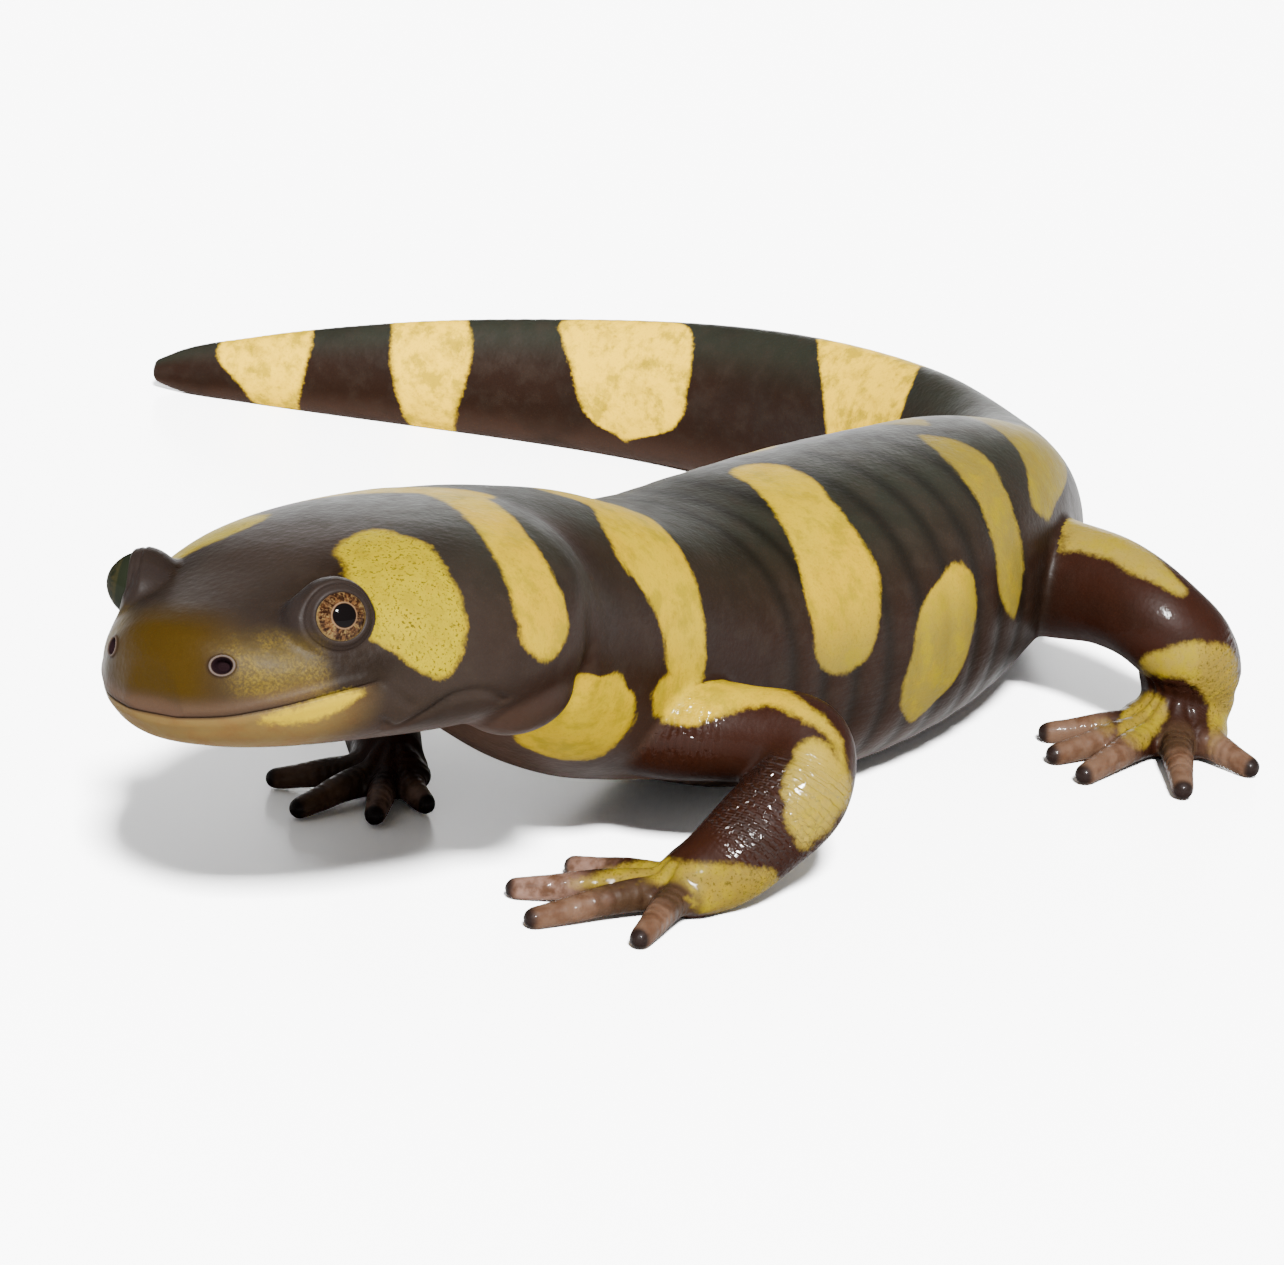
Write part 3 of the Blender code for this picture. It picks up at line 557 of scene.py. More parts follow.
def whole_skin():
    """Every flesh form joined into one closed surface, in millimetres."""
    bm = bmesh.new()
    add_tube(bm, body_rings())
    for part in LIMBS:
        add_limb(bm, part.points, part.tips, *part.sizes)
    for side in SIDES:
        add_ball(bm, on_side(CHEEK, side), CHEEK_RADIUS, CHEEK_SHAPE)
        add_ball(bm, on_side(EYE, side), LID_RADIUS)
        add_ball(bm, on_side(LID_FRONT[side], side), LID_FRONT_RADIUS)
    bmesh.ops.recalc_face_normals(bm, faces=bm.faces)
    mesh = bpy.data.meshes.new("skin")
    bm.to_mesh(mesh)
    bm.free()
    obj = link("skin", mesh)
    join = obj.modifiers.new("join", "REMESH")
    join.mode = "VOXEL"
    join.voxel_size = VOXEL
    ease = obj.modifiers.new("ease", "SMOOTH")
    ease.factor = 0.5
    ease.iterations = SMOOTH_ROUNDS
    view = bpy.context.evaluated_depsgraph_get()
    done = bpy.data.meshes.new_from_object(obj.evaluated_get(view))
    obj.modifiers.clear()
    obj.data = done
    return obj


def rows_of(items, name):
    """A vector property of every item as rows of three numbers."""
    flat = np.empty(len(items) * 3)
    items.foreach_get(name, flat)
    return flat.reshape(-1, 3)


def points_of(mesh):
    return rows_of(mesh.vertices, "co")


def normals_of(mesh):
    return rows_of(mesh.vertex_normals, "vector")


def move_points(mesh, p):
    mesh.vertices.foreach_set("co", p.ravel())
    mesh.update()


def refine(mesh, pick):
    """Split the faces that pick chooses into four."""
    bm = bmesh.new()
    bm.from_mesh(mesh)
    centres = np.array([f.calc_center_median() for f in bm.faces])
    chosen = np.flatnonzero(pick(centres))
    bm.faces.ensure_lookup_table()
    edges = {e for i in chosen for e in bm.faces[i].edges}
    bmesh.ops.subdivide_edges(bm, edges=list(edges), cuts=1, use_grid_fill=True)
    bm.to_mesh(mesh)
    bm.free()


def turn_from_eye(p, side):
    """Angle of each point from the eye's axis, slightly more above and below it, and its distance."""
    q = p - np.array(on_side(EYE, side))
    r = np.maximum(np.linalg.norm(q, axis=1), 1e-6)
    turn = np.degrees(np.arccos(np.clip(q @ np.array(eye_axis(side)) / r, -1, 1)))
    high = (q @ np.array(UP) / r) ** 2
    return turn * (1 + LID_OVAL * high / np.maximum(np.sin(np.radians(turn)) ** 2, 0.1)), r


def near_face(centres):
    ahead, _, up = head_places(centres)
    return (ahead > 17.2) & (ahead < 29) & (up > -3.4)


def near_details(centres):
    ahead, _, up = head_places(centres)
    mouth = np.abs(up - curve(MOUTH_LINE, ahead)[:, 0]) < 0.7
    picked = (ahead > 17.6) & mouth
    for side in SIDES:
        picked |= distance(centres, on_side(NOSTRIL, side)) < 1.7
        picked |= distance(centres, on_side(EYE, side)) < 3.4
    return picked


def near_lids(centres):
    picked = np.zeros(len(centres), bool)
    for side in SIDES:
        turn, r = turn_from_eye(centres, side)
        picked |= (r < 3.2) & (np.abs(turn - LID_EDGE[side] - 3) < 11)
    return picked


def shape_lids(p):
    """Open the lids around each eye, roll their edges and crease them behind."""
    for side in SIDES:
        centre = np.array(on_side(EYE, side))
        edge = LID_EDGE[side]
        crest = edge + LID_CREST
        turn, r = turn_from_eye(p, side)
        near = (r < LID_REACH) & (turn < edge + 30)
        hidden = EYE_RADIUS - LID_TUCK[0] - LID_TUCK[1] * np.clip(1 - turn / edge, 0, 1)
        rim = EYE_RADIUS + LID_PLUMP * np.sqrt(np.clip(1 - ((turn - crest) / 7.6) ** 2, 0, 1))
        inside = ramp(turn, edge - 3.0, edge + 0.5)
        outside = ramp(turn, crest, edge + 24)
        rolled = hidden * (1 - inside) + rim * inside
        made = np.where(turn < crest, rolled, (EYE_RADIUS + LID_PLUMP) * (1 - outside) + r * outside)
        made = made - LID_CREASE * bump_at(turn, edge + 19, 3.0)
        new = r + (made - r) * ramp(r, LID_REACH, 3.1)
        p[near] = (centre + (p - centre) * (new / r)[:, None])[near]
    return p


def shape_mouth(p, n):
    """Press the line of the mouth in between two soft lips."""
    ahead, _, up = head_places(p)
    off = up - curve(MOUTH_LINE, ahead)[:, 0]
    section = sum(rise * bump_at(off, middle, width) for rise, middle, width in LIP_SECTION)
    corner = MOUTH_CORNER * bump_at(ahead, 18.5, 0.55) * bump_at(off, -0.05, 0.5)
    return p + n * (section * ramp(ahead, 18.3, 19.6) + corner)[:, None]


def shape_nostrils(p, n):
    """Sink both nostrils with a raised rim; also gives the distance from their middle, 1 at the rim."""
    away = np.full(len(p), FAR)
    for side in SIDES:
        q = p - p[np.argmin(distance(p, on_side(NOSTRIL, side)))]
        near = np.linalg.norm(q, axis=1)
        axis = n[near < 0.8].mean(axis=0)
        axis /= np.linalg.norm(axis)
        upward = np.array(UP) - np.dot(UP, axis) * axis
        upward /= np.linalg.norm(upward)
        across = np.cross(upward, axis)
        r = np.hypot(q @ across / NOSTRIL_SIZE[0], q @ upward / NOSTRIL_SIZE[1])
        away = np.minimum(away, np.where(near < 3.0, r, FAR))
    shift = NOSTRIL_RIM_RISE * bump_at(away, 1.14, 0.15) - NOSTRIL_DEPTH * fall(away, 0.55, 0.98)
    return p + n * shift[:, None], away


def to_stretch(p, a, b):
    """Share of the way from a to b nearest to each point, and the distance from there."""
    start = np.array(a, float)
    d = np.array(b, float) - start
    t = np.clip((p - start) @ d / np.dot(d, d), 0, 1)
    return t, np.linalg.norm(p - start - t[:, None] * d, axis=1)


def trail_distance(p, path):
    return np.min([to_stretch(p, a, b)[1] for a, b in zip(path, path[1:])], axis=0)


def trail_depth(p, trail):
    """Depth inside a row of joined discs."""
    best = np.full(len(p), -FAR)
    for a, b in zip(trail, trail[1:]):
        t, away = to_stretch(p, a[:2], b[:2])
        best = np.maximum(best, a[2] + t * (b[2] - a[2]) - away)
    return best


def shape_creases(p, n):
    ahead, side, up = head_places(p)
    mirrored = np.column_stack([ahead, np.abs(side), up])
    depth = np.zeros(len(p))
    near = (ahead > 5) & (ahead < 20)
    for path, deep, wide in CREASES:
        fine = curve([(i, *q) for i, q in enumerate(path)], np.linspace(0, len(path) - 1, 4 * len(path)))
        depth[near] += deep * np.exp(-(trail_distance(mirrored[near], fine) / wide) ** 2)
    return p - n * depth[:, None]


def digit_places(p, part):
    """How far out along its nearest digit each point lies, which one, and how much further the next is."""
    start = np.array(part.points[-1][:2])
    outs = []
    aways = []
    for tip in part.tips:
        d = np.array(tip) - start
        t = np.clip((p[:, :2] - start) @ d / np.dot(d, d), 0, 1.25)
        outs.append(t)
        aways.append(np.linalg.norm(p[:, :2] - start - np.clip(t, 0, 1)[:, None] * d, axis=1))
    which = np.argmin(aways, axis=0)
    nearest, second = np.sort(aways, axis=0)[:2]
    return np.choose(which, outs), which, second - nearest


def shape_hands(p, n):
    """Press soft grooves in between the digits."""
    depth = np.zeros(len(p))
    for part in LIMBS:
        palm = part.points[-1]
        near = np.flatnonzero((np.hypot(p[:, 0] - palm[0], p[:, 1] - palm[1]) < 9) & (p[:, 2] < 5.5))
        out, _, apart = digit_places(p[near], part)
        between = np.exp(-(apart / 0.55) ** 2) * ramp(out, 0.05, 0.22) * ramp(p[near, 2], 0.6, 1.4)
        depth[near] = DIGIT_GROOVE * between
    return p - n * depth[:, None]


def make_skin():
    """The finished skin in millimetres, and each point's distance from the nostrils."""
    obj = whole_skin()
    mesh = obj.data
    for pick in (near_face, near_details, near_lids):
        refine(mesh, pick)
    move_points(mesh, shape_creases(points_of(mesh), normals_of(mesh)))
    p, n = points_of(mesh), normals_of(mesh)
    p = shape_mouth(shape_hands(p, n), n)
    p, nostril = shape_nostrils(p, n)
    p = shape_lids(p)
    origin = np.array((ORIGIN_X, ORIGIN_Y, 0.0))
    lowest = np.array(cad_low) / MM + origin + BOX_MARGIN
    highest = np.array(cad_high) / MM + origin - BOX_MARGIN
    move_points(mesh, np.clip(p, lowest, highest))
    return obj, nostril


def body_places(p):
    """Distance along the spine, angle from the ridge, height above the trunk's surface and its radius."""
    every = 4
    chunk = 20000
    xs, ys, ss, ts = (a[::every] for a in (SPINE_X, SPINE_Y, SPINE_S, SPINE_TURN))
    s = np.empty(len(p))
    side = np.empty(len(p))
    for start in range(0, len(p), chunk):
        q = p[start:start + chunk]
        k = np.argmin((q[:, :1] - xs) ** 2 + (q[:, 1:2] - ys) ** 2, axis=1)
        dx, dy = q[:, 0] - xs[k], q[:, 1] - ys[k]
        s[start:start + chunk] = ss[k] + dx * np.cos(ts[k]) + dy * np.sin(ts[k])
        side[start:start + chunk] = dx * np.sin(ts[k]) - dy * np.cos(ts[k])
    width, top, bottom = curve(TRUNK, s).T
    half = (top - bottom) / 2
    high = p[:, 2] - (top + bottom) / 2
    turn = np.degrees(np.arctan2(side / width, high / half))
    radius = (width + half) / 2
    rise = (np.hypot(side / width, high / half) - 1) * radius
    return s, turn, rise, radius


def inside_both(a, b, corner):
    """Depth inside two overlapping areas, whose joint corners are rounded."""
    return corner - np.hypot(np.maximum(corner - a, 0), np.maximum(corner - b, 0))


def band_depth(at, off, rows, scale=1.0, shift=0.0):
    """Depth inside a round-ended band given by rows of place, middle and half width."""
    middle, half = curve(rows, at).T
    edge = half - np.abs(off - shift - middle)
    end = np.minimum(at - rows[0][0], rows[-1][0] - at) * scale
    return inside_both(edge, end, np.minimum(half, BAND_CORNER))


def body_marks(s, turn, radius):
    """Depth inside the bars of trunk and tail."""
    depth = np.full(len(s), -FAR)
    arc = radius * math.pi / 180
    for name, rows in BODY_BARS.items():
        along, away = RIGHT_SHIFT[name]
        depth = np.maximum(depth, band_depth(turn, s, rows, arc))
        depth = np.maximum(depth, band_depth(-turn - away, s, rows, arc, along))
    for rows in TAIL_BARS:
        all_round = rows[-1][0] == 180
        depth = np.maximum(depth, band_depth(np.abs(turn), s, rows, FAR if all_round else arc))
    return depth


def head_marks(ahead, side, up):
    """Depth inside the patches of the cheeks and of the lower jaw."""
    cheek = band_depth(up, ahead, CHEEK_BAR)
    cheek = np.max([inside_both(cheek, k * side - CHEEK_TOP[k], CHEEK_CORNER) for k in SIDES], axis=0)
    jaw = np.where(np.abs(side) > JAW_BAR_SIDE, band_depth(ahead, up, JAW_BAR), -FAR)
    on_head = ahead > HEAD_MARKS_FROM
    return np.where(on_head, cheek, -FAR), np.where(on_head, jaw, -FAR)


def limb_axis(points, share):
    """Points of a limb's middle line, given the share as a number of stretches from its root."""
    rows = np.array(points, float)
    return curve(np.column_stack([np.arange(len(rows)), rows]), share)[:, :3]


def limb_share(p, points):
    """How many stretches of a limb's middle line lie before each point."""
    steps = len(points) - 1
    shares = np.linspace(0, steps, 10 * steps + 1)
    aways = [distance(p, middle) for middle in limb_axis(points, shares)]
    return shares[np.argmin(aways, axis=0)]


def limb_marks(q, share, part):
    """Depth inside a limb's patches, which are laid out on the left limb."""
    if part.side < 0:
        q = limb_axis(part.twin, share) + (q - limb_axis(part.points, share)) * np.array([-1, 1, 1])
    here = np.column_stack([q @ np.array(SLANT_ACROSS), q @ np.array(SLANT_UP)])
    return np.max([trail_depth(here, trail) for trail in part.patches], axis=0)


def limb_masks(p, limb, mark):
    """Masks of the limbs; their patches are added to mark."""
    masks = {}
    for part in LIMBS:
        arm = part.kind == "arm"
        box = (np.sign(p[:, 0] + 1e-9) == part.side) & (limb > 0.02)
        box &= np.abs(p[:, 1] - (ARM_LEVEL if arm else LEG_LEVEL)) < LIMB_SPREAD
        at = np.flatnonzero(box)
        q = p[at]
        here = limb[at]
        share = limb_share(q, part.points)
        out, which, _ = digit_places(q, part)
        found = limb_marks(q, share, part)
        if arm and part.side < 0:
            found = np.where(share > 5.0, found - 3.0, found)
        found = np.where(out > 0.72, np.minimum(found, 0.6 - 3 * (out - 0.72)), found)
        mark[at] = np.where(here > 0.06, np.maximum(mark[at], found), mark[at])
        hand = share > HAND_FROM
        inner = which < 2
        pink = np.where(arm & inner, ramp(out, 0.52, 0.78), ramp(out, 0.42, 0.72))
        stained = ~inner if arm else which == 3
        before_hand = fall(share, 5.6, 6.3)
        if arm:
            armpit = ramp(here, 0.05, 0.4) * fall(share, 1.3, 2.1)
            armpit *= ramp(q[:, 2], 7.5, 9.5) * fall(q[:, 2], 12, 14)
            rings = ramp(share, 3.4, 3.9) * before_hand + 0.7 * armpit
        else:
            rings = 0.5 * ramp(share, 3.6, 4.2) * before_hand
        knuckles = ramp(out, 0.2, 0.4) * fall(out, 0.8, 0.92) * hand
        values = {
            "limb": here,
            "digit": pink * hand,
            "tip": ramp(out, 0.98, 1.04) * hand,
            "stain": stained * ramp(out, 0.22, 0.34) * fall(out, 0.5, 0.72) * hand,
            "brown": ~inner if arm else 1.0,
            "crease": np.maximum(rings, 0.35 * knuckles),
            "along": share * 4.0 + out * 8.0 + (0.0 if arm else 4.0),
        }
        for name, value in values.items():
            masks.setdefault(name, np.zeros(len(p)))[at] = value
    return masks


def head_masks(p, ahead, side, up):
    """Masks of snout, lips, jaw, lids and the dark places beside the eyes."""
    sideways = np.abs(side)
    over_mouth = up - curve(MOUTH_LINE, ahead)[:, 0]
    snout = ramp(ahead, 20.6, 22.4) * fall(ahead, 24.4, 26.2) * ramp(sideways, 2.6, 5.0)
    behind_eye = bump_at(ahead, 18.0, 4.5) * bump_at(sideways, 6.5, 2.6) * ramp(up, 2.0, 5.0)
    below_eye = bump_at(ahead, 19.4, 2.4) * bump_at(up, 1.9, 1.1) * ramp(sideways, 7.6, 9.0)
    lid = np.zeros(len(p))
    for k in SIDES:
        ball = distance(p, on_side(EYE, k))
        front = distance(p, on_side(LID_FRONT[k], k))
        lid = np.maximum(lid, fall(np.minimum(ball - 2.05, front - 1.9), 0.15, 0.75))
    return {"snout": snout * (fall(up, 2.6, 4.6) * ramp(up, -0.2, 0.9)),
            "olive": ramp(ahead, 22.0, 26.0) * ramp(up, -0.8, 0.8) * fall(sideways, 2.4, 6.6),
            "tan": fall(over_mouth, -0.2, 0.05) * ramp(ahead, 17.8, 22.5),
            "lip": bump_at(over_mouth, 0.0, 0.08) * ramp(ahead, 18.4, 19.2),
            "lips": bump_at(over_mouth, 0.55, 0.55) * ramp(ahead, 20.5, 23.0),
            "temple": np.maximum(behind_eye, below_eye),
            "head": ramp(ahead, 4, 14),
            "lid": lid}


def body_masks(s, turn, limb, normals):
    """Masks of the back, the flanks, the belly and the tail."""
    off_ridge = np.abs(turn)
    # Bars turn duller on the rear trunk, and darker low on the flanks: partly their own colour, partly
    # painted shade.
    dull_and_shaded = np.maximum(ramp(off_ridge, 50, 88) * ramp(s, 10, 16), ramp(s, 34, 40)) * fall(s, 60, 75)
    return {"belly": ramp(off_ridge + 16 * fall(s, -4, 6), 102, 150),
            "ridge": fall(off_ridge, 25, 75),
            "saddle": ramp(s, -15, -6) * fall(s, 20, 32) * fall(off_ridge, 35, 75),
            "groove": rib_groove(s) / RIB_DEPTH,
            "wrinkle": ramp(off_ridge, 55, 90) * ramp(s, 8, 16) * fall(s, 44, 52) * (1 - limb),
            "tail": ramp(s, 70, 85),
            "dull_and_shaded": dull_and_shaded * (1 - limb),
            "under": fall(normals[:, 2], -0.35, 0.55)}


def paint(obj, nostril):
    """Write the masks that the skin material reads onto the mesh, and bring it to metres."""
    mesh = obj.data
    p = points_of(mesh)
    s, turn, rise, radius = body_places(p)
    ahead, side, up = head_places(p)
    low = (p[:, 2] < 9) | (s > -8)
    limb = ramp(rise, 0.3, 1.1) * low * (s < 66) * (s > -24)
    cheek, jaw = head_marks(ahead, side, up)
    mark = np.maximum(body_marks(s, turn, radius), cheek)
    mark = np.where(limb > 0.5, np.minimum(mark, 0.5 - 3 * limb), mark)
    masks = limb_masks(p, limb, mark)
    masks.update(head_masks(p, ahead, side, up))
    masks.update(body_masks(s, turn, limb, normals_of(mesh)))
    lid = masks["lid"]
    masks["mark"] = np.where(lid > 0.3, np.minimum(mark, 0.6 - 2 * lid), mark)
    masks["cheek"] = np.clip(cheek, -1, 1)
    masks["jaw"] = jaw
    masks["nostril"] = nostril
    for name, values in masks.items():
        layer = mesh.attributes.new(name, "FLOAT", "POINT")
        layer.data.foreach_set("value", np.asarray(values, np.float32))
    smooth_and_place(mesh)


def smooth_and_place(mesh, place=Matrix.Identity(4)):
    """Shade a mesh smooth, put it in place and bring it to metres."""
    mesh.polygons.foreach_set("use_smooth", np.ones(len(mesh.polygons), bool))
    mesh.transform(TO_METRES @ place)


class Graph:
    """Short-hand for building a material's nodes. A value is a number, a socket or the name of a mask."""

    def __init__(self, name):
        self.material = bpy.data.materials.new(name)
        self.material.use_nodes = True
        self.tree = self.material.node_tree
        self.inputs = self.tree.nodes["Principled BSDF"].inputs

    def node(self, kind, **values):
        made = self.tree.nodes.new("ShaderNode" + kind)
        for name, value in values.items():
            made.inputs[name.replace("_", " ")].default_value = value
        return made

    def put(self, socket, value):
        if isinstance(value, str):
            value = self.mask(value)
        if isinstance(value, bpy.types.NodeSocket):
            self.tree.links.new(value, socket)
        elif isinstance(value, tuple) and len(value) == 3 and socket.type == "RGBA":
            socket.default_value = (*value, 1.0)
        else:
            socket.default_value = value

    def mask(self, name, output="Fac"):
        node = self.node("Attribute")
        node.attribute_name = name
        return node.outputs[output]

    def math(self, how, *values):
        node = self.node("Math")
        node.operation = how
        for socket, value in zip(node.inputs, values):
            self.put(socket, value)
        return node.outputs[0]

    def times(self, value, *others):
        for other in others:
            value = self.math("MULTIPLY", value, other)
        return value

    def line(self, value, slope, start):
        """Start plus the value times the slope."""
        return self.math("MULTIPLY_ADD", value, slope, start)

    def frayed(self, value, noise, height):
        """The value moved up and down by a noise of the given height."""
        return self.line(self.math("SUBTRACT", noise, 0.5), height, value)

    def step(self, value, low, high):
        node = self.node("MapRange", From_Min=low, From_Max=high)
        node.interpolation_type = "SMOOTHSTEP"
        self.put(node.inputs["Value"], value)
        return node.outputs["Result"]

    def tint(self, colour, other, share, strength=None):
        """The colour turned towards another one by share, times strength where it is given."""
        node = self.node("Mix")
        node.data_type = "RGBA"
        self.put(node.inputs["Factor"], share if strength is None else self.times(share, strength))
        self.put(node.inputs[6], colour)
        self.put(node.inputs[7], other)
        return node.outputs[2]

    def tints(self, colour, *layers):
        """The colour under layers, each a colour, its share and, where given, its strength."""
        for layer in layers:
            colour = self.tint(colour, *layer)
        return colour

    def place(self):
        return self.node("TexCoord").outputs["Object"]

    def noise(self, size, detail=3.0, rough=0.5, where=None):
        """Noise whose largest spots are about size millimetres."""
        node = self.node("TexNoise", Scale=1.0 / (size * MM), Detail=detail, Roughness=rough)
        self.put(node.inputs["Vector"], where or self.place())
        return node.outputs["Fac"]

    def cells(self, size):
        node = self.node("TexVoronoi", Scale=1.0 / (size * MM))
        self.put(node.inputs["Vector"], self.place())
        return node.outputs["Distance"]

    def bump(self, height, strength, distance, before=None):
        node = self.node("Bump", Distance=distance * MM)
        self.put(node.inputs["Height"], height)
        self.put(node.inputs["Strength"], strength)
        if before is not None:
            self.put(node.inputs["Normal"], before)
        return node.outputs["Normal"]


def dark_skin(g, middle, broad):
    """Black and brown between the marks, clouded, with painted shade along the rib grooves."""
    return g.tints(
        DARK_SIDE,
        (DARK_RIDGE, "ridge"),
        (DARK_HEAD, "head"),
        (DARK_TEMPLE, "temple"),
        (DARK_BELLY, "belly"),
        (DARK_LIMB, "limb"),
        (DARK_PALE, g.step(middle, 0.42, 0.7), g.line("limb", -0.26, 0.34)),
        (DARK_DEEP, g.step(broad, 0.45, 0.72), 0.35),
        # Painted shade in the rib grooves.
        (GROOVE_SHADE, "groove", 0.65),
        (LID_GREY, "lid"),
        (OLIVE, "olive"))


def yellow_skin(g, middle, broad, ragged):
    """Yellow of the bars and patches, clouded with ochre, flecked and darker at the edges; duller further out
    on the limbs and low on the flanks, partly as painted shade.
    """
    past_elbow = g.times("limb", g.step("along", 9.0, 16.0))
    crowd = g.line(g.step("cheek", -0.4, 0.4), 0.65, g.times(middle, 0.35))
    crowd = g.line(g.step("along", 19.0, 23.0), 0.6, crowd)
    return g.tints(
        YELLOW,
        (YELLOW_PALE, g.step(broad, 0.35, 0.65)),
        (YELLOW_TAIL, "tail"),
        # Limb yellow further out, partly painted shade.
        (YELLOW_LIMB_SHADED, past_elbow),
        (YELLOW_FOOT_SHADED, g.step("along", 19.0, 24.0), 0.8),
        (YELLOW_CHEEK, g.step("cheek", -0.4, 0.3)),
        # Duller bars, with painted shade low on the flanks.
        (YELLOW_DULL_SHADED, "dull_and_shaded", 0.88),
        (YELLOW_OCHRE, g.step(middle, 0.48, 0.75), 0.5),
        (YELLOW_FLECK, g.step(g.noise(0.19, 2.0, 0.6), 0.54, 0.66), crowd),
        (YELLOW_CLOUD, g.step(g.noise(2.0, 5.0, 0.68), 0.46, 0.64), 0.6),
        (YELLOW_EDGE, g.step(ragged, 0.55, 0.0), 0.22))


def face_colours(g, colour, fine, middle, shown):
    """Bronze snout with gold powder, pink lips, tan lower jaw with its pale stripe."""
    powder = g.times(g.step(g.noise(0.16, 3.0, 0.65), 0.38, 0.66), g.step(g.noise(1.6, 3.0), 0.3, 0.66))
    tan = g.tint(TAN, TAN_DEEP, g.step(middle, 0.4, 0.7))
    return g.tints(
        colour,
        (SNOUT_OLIVE, "snout", 0.55),
        (SNOUT_GOLD, g.times(powder, "snout"), 0.62),
        (LIP_PINK, "lips", 0.6),
        (tan, "tan", g.math("SUBTRACT", 1.0, shown)),
        (YELLOW_JAW, g.step(g.frayed("jaw", fine, 0.9), -0.35, 0.35), 0.9))


def digit_colours(g, colour, middle):
    """Pink and brown digits with dark stains and black tips."""
    pink = g.tints(PINK, (DIGIT_BROWN, "brown", 0.75), (DIGIT_SPOT, g.step(middle, 0.4, 0.66)))
    return g.tints(colour, (pink, "digit"), (DIGIT_STAIN, "stain", g.step(middle, 0.3, 0.5)), (TIP, "tip"))


def opening_colours(g, colour):
    """Nostrils with painted shade in their pits, a darker ring and a painted highlight round the rim, and the
    dark line of the mouth.
    """
    return g.tints(
        colour,
        # Painted highlight on the nostril rim.
        (NOSTRIL_RIM_HIGHLIGHT, g.times(g.step("nostril", 0.98, 1.06), g.step("nostril", 1.3, 1.16)), 0.8),
        # A darker ring round the nostril rim.
        (NOSTRIL_SHADE_AND_DARK, g.step("nostril", 1.75, 1.3), 0.5),
        # Painted shade in the nostril pit.
        (NOSTRIL_SHADE_AND_DARK, g.step("nostril", 1.06, 0.94)),
        (MOUTH_DARK, "lip", 0.55))


def set_gloss(g, middle, shown):
    """Moist skin: glossy on the limbs and in their creases, matt below and over the shoulders."""
    g.put(g.inputs["Roughness"], g.line(middle, 0.2, 0.4))
    wet = g.times(g.line("under", -0.9, 1.0), g.line("head", -0.45, 1.0),
                  g.step("nostril", 0.9, 1.05), g.line("saddle", -0.88, 1.0))
    level = g.times(g.line("limb", -0.018, 0.042), g.line(shown, -0.4, 1.0))
    g.put(g.inputs["Specular IOR Level"], g.times(wet, level))
    shine = g.times(g.line("limb", 0.04, 0.003), g.line("head", -0.9, 1.0))
    shine = g.line("crease", 0.085, shine)
    g.put(g.inputs["Coat Weight"], g.times(shine, wet))
    g.inputs["Coat Roughness"].default_value = 0.06
    g.inputs["Subsurface Weight"].default_value = 0.06
    g.inputs["Subsurface Radius"].default_value = (1.0, 0.5, 0.25)
    g.inputs["Subsurface Scale"].default_value = 0.6 * MM


def set_relief(g, fine, middle):
    """Rings around the limbs, wrinkles along the flanks, and fine grain."""
    ringed = g.math("SINE", g.line("along", 9.0, g.times(g.noise(1.5, 2.0), 9.0)))
    normal = g.bump(ringed, g.times("crease", 0.55), 0.16)
    stretched = g.node("Mapping", Scale=(1.0, 0.35, 2.2))
    g.put(stretched.inputs["Vector"], g.place())
    lines = g.noise(1.0, 3.0, 0.6, stretched.outputs[0])
    normal = g.bump(lines, g.times("wrinkle", 0.18), 0.3, normal)
    normal = g.bump(g.cells(0.42), 0.16, 0.08, normal)
    normal = g.bump(fine, 0.16, 0.08, normal)
    normal = g.bump(middle, 0.22, 0.2, normal)
    g.put(g.inputs["Normal"], normal)
    g.put(g.inputs["Coat Normal"], normal)


def skin_material():
    g = Graph("skin")
    fine = g.noise(0.35, 4.0, 0.65)
    middle = g.noise(1.6, 4.0, 0.6)
    broad = g.noise(6.0, 3.0, 0.55)
    ragged = g.frayed(g.frayed("mark", fine, 0.65), middle, 0.7)
    shown = g.step(ragged, -0.3, 0.26)
    colour = g.tint(dark_skin(g, middle, broad), yellow_skin(g, middle, broad, ragged), shown)
    colour = face_colours(g, colour, fine, middle, shown)
    colour = digit_colours(g, colour, middle)
    g.put(g.inputs["Base Color"], opening_colours(g, colour))
    set_gloss(g, middle, shown)
    set_relief(g, fine, middle)
    return g.material


def make_eye(side, name):
    """Eyeball with a raised cornea, which knows each point's angle from its axis."""
    bm = bmesh.new()
    bmesh.ops.create_uvsphere(bm, u_segments=96, v_segments=64, radius=EYE_RADIUS)
    turn = eye_axis(side).to_track_quat("Z", "Y").to_matrix()
    mesh = bpy.data.meshes.new(name)
    away = np.empty(len(bm.verts), np.float32)
    thread = np.empty((len(bm.verts), 3), np.float32)
    for i, v in enumerate(bm.verts):
        away[i] = math.degrees(v.co.angle(Vector((0, 0, 1)), 0.0))
        flat = v.co.xy.normalized() * THREAD_CIRCLE
        thread[i] = (flat.x * MM, flat.y * MM, away[i] * THREAD_RISE * MM)
        bulge = CORNEA_BULGE * math.exp(-((away[i] / CORNEA_SPREAD) ** 2))
        v.co = turn @ (v.co * (1 + bulge / EYE_RADIUS))
    bm.to_mesh(mesh)
    bm.free()
    mesh.attributes.new("away", "FLOAT", "POINT").data.foreach_set("value", away)
    mesh.attributes.new("thread", "FLOAT_VECTOR", "POINT").data.foreach_set("vector", thread.ravel())
    smooth_and_place(mesh, Matrix.Translation(on_side(EYE, side)))
    return link(name, mesh)


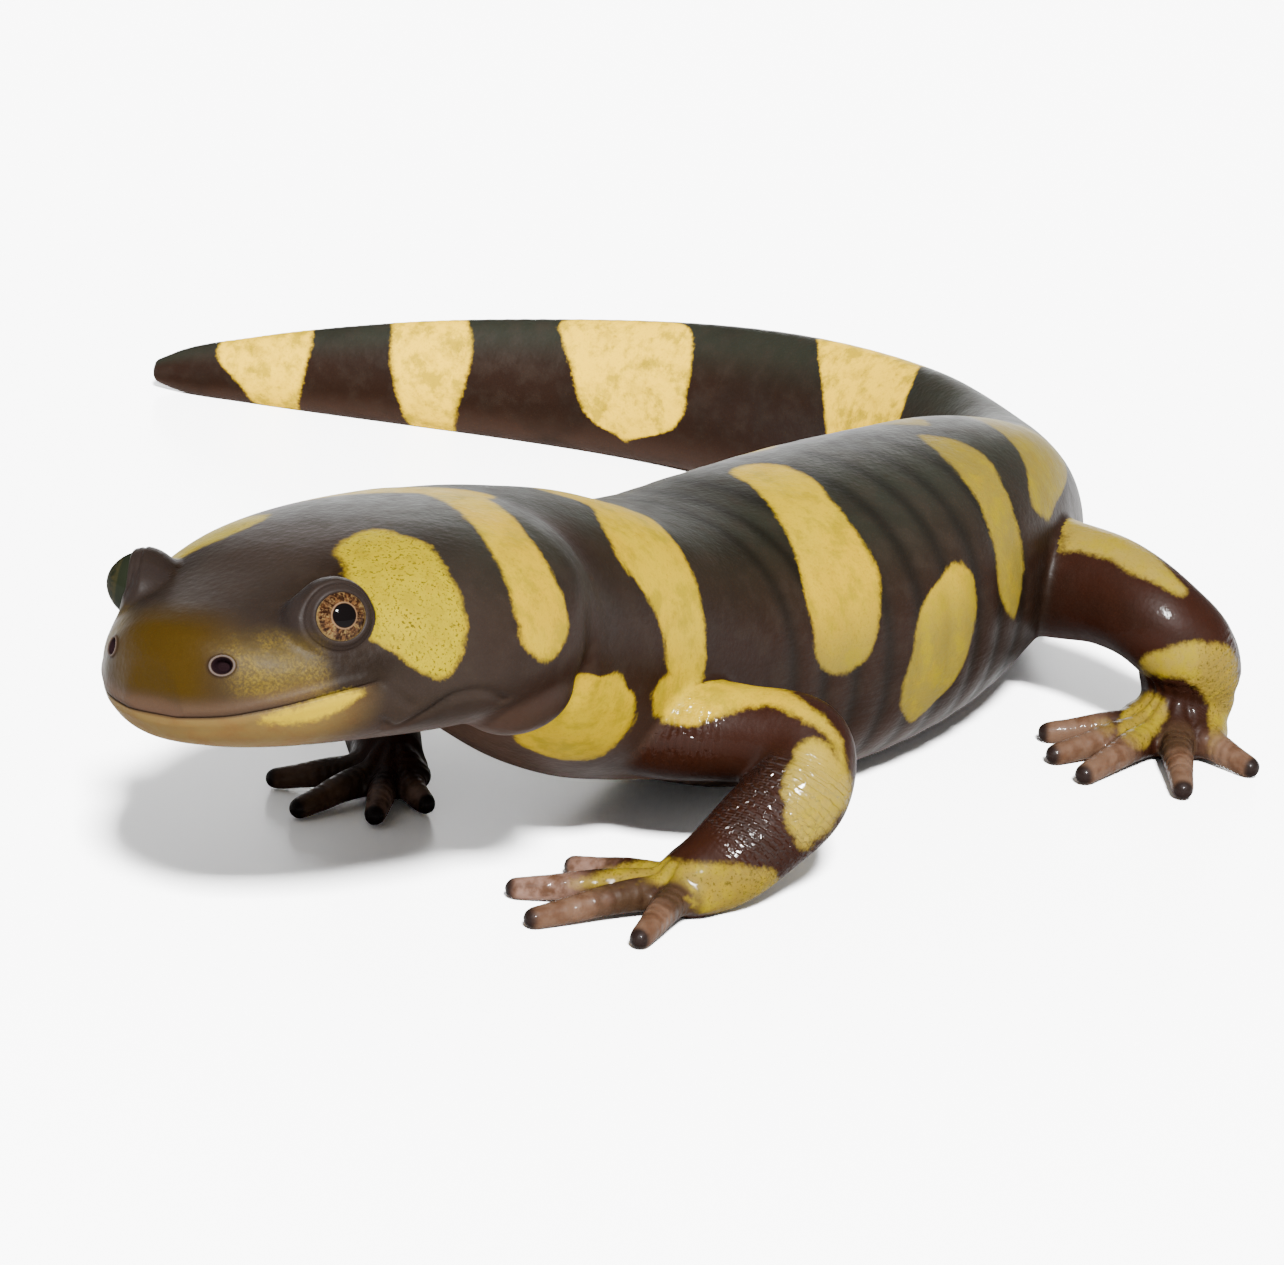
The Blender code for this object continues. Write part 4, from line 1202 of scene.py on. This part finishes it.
def eye_material(name, painted_shade):
    """Gold and copper iris with dark flecks; painted_shade turns the iris and the rest of the ball dark
    green, as painted shade.
    """
    g = Graph(name)
    away = g.mask("away")
    fine = g.noise(0.16, 3.0, 0.7)
    blotch = g.noise(0.45, 3.0, 0.6)
    threads = g.noise(0.26, 3.0, 0.7, g.mask("thread", "Vector"))
    net = g.line(threads, 0.6, g.times(fine, 0.4))
    ring = g.times(g.step(away, PUPIL_EDGE - 1.0, PUPIL_EDGE + 0.5),
                   g.step(away, PUPIL_EDGE + 3.5, PUPIL_EDGE + 2.0))
    colour = g.tints(
        IRIS_DARK,
        (IRIS_BROWN, g.step(net, 0.455, 0.56)),
        (IRIS_COPPER, g.step(blotch, 0.46, 0.62), g.step(net, 0.4, 0.52)),
        (IRIS_GOLD, g.step(net, 0.53, 0.6), 0.65),
        (IRIS_OUTER, g.step(away, IRIS_EDGE - 8.0, IRIS_EDGE - 3.0), 0.55),
        (IRIS_INNER, ring, 0.8),
        # Painted shade of the right eye.
        (SHADED_IRIS, painted_shade),
        (PUPIL, g.step(away, PUPIL_EDGE + 0.6, PUPIL_EDGE - 0.6)),
        (g.tint(EYE_REST, SHADED_IRIS, painted_shade), g.step(away, IRIS_EDGE, IRIS_EDGE + 4)))
    g.put(g.inputs["Base Color"], colour)
    g.inputs["Roughness"].default_value = 0.35
    g.inputs["Specular IOR Level"].default_value = 0.0
    g.inputs["Coat Weight"].default_value = 0.03
    g.inputs["Coat Roughness"].default_value = 0.02
    return g.material


def make_camera():
    """Camera in front on the left, a little above the animal."""
    data = bpy.data.cameras.new("camera")
    data.sensor_width = 36.0
    data.lens = CAMERA_LENS
    data.clip_start = 0.01
    data.clip_end = 10.0
    obj = link("camera", data)
    turn = Vector(CAMERA_TOWARD).to_track_quat("-Z", "Y").to_matrix().to_4x4()
    x, y, z = CAMERA_PLACE
    place = Vector(((x - ORIGIN_X) * MM, (y - ORIGIN_Y) * MM, z * MM))
    roll = Matrix.Rotation(math.radians(CAMERA_ROLL), 4, "Z")
    obj.matrix_world = Matrix.Translation(place) @ turn @ roll
    bpy.context.scene.camera = obj


def area_light(name, place, power, size, size_y=None):
    data = bpy.data.lights.new(name, "AREA")
    data.energy = power
    data.size = size
    if size_y is not None:
        data.shape = "RECTANGLE"
        data.size_y = size_y
    obj = link(name, data)
    obj.location = place
    obj.rotation_euler = (-Vector(place)).to_track_quat("-Z", "Y").to_euler()


def make_floor():
    bm = bmesh.new()
    bmesh.ops.create_grid(bm, x_segments=1, y_segments=1, size=FLOOR_HALF)
    mesh = bpy.data.meshes.new("floor")
    bm.to_mesh(mesh)
    bm.free()
    floor = link("floor", mesh)
    floor.location = (0, 0, -FLOOR_GAP)
    g = Graph("floor")
    g.put(g.inputs["Base Color"], FLOOR_WHITE)
    g.inputs["Roughness"].default_value = 0.28
    g.inputs["Specular IOR Level"].default_value = 0.35
    mesh.materials.append(g.material)


def make_light():
    """Soft light all round, a strong lamp in front and a low, wide one behind."""
    world = bpy.data.worlds.new("world")
    world.use_nodes = True
    background = world.node_tree.nodes["Background"]
    background.inputs["Color"].default_value = (1.0, 1.0, 1.0, 1.0)
    background.inputs["Strength"].default_value = SKY_STRENGTH
    bpy.context.scene.world = world
    area_light("key", KEY_PLACE, KEY_POWER, KEY_SIZE)
    area_light("back", BACK_PLACE, BACK_POWER, *BACK_SIZE)


make_camera()
make_floor()
make_light()
skin, nostril = make_skin()
paint(skin, nostril)
skin.data.materials.clear()
skin.data.materials.append(skin_material())
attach(skin, "root")
flesh = [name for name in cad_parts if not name.startswith("eye_")]
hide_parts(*flesh)
for side, name in zip(SIDES, ("eye_left", "eye_right")):
    ball = make_eye(side, "look_" + name)
    ball.data.materials.append(eye_material(name, EYE_PAINTED_SHADE[side]))
    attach(ball, "root")
    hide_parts(name)
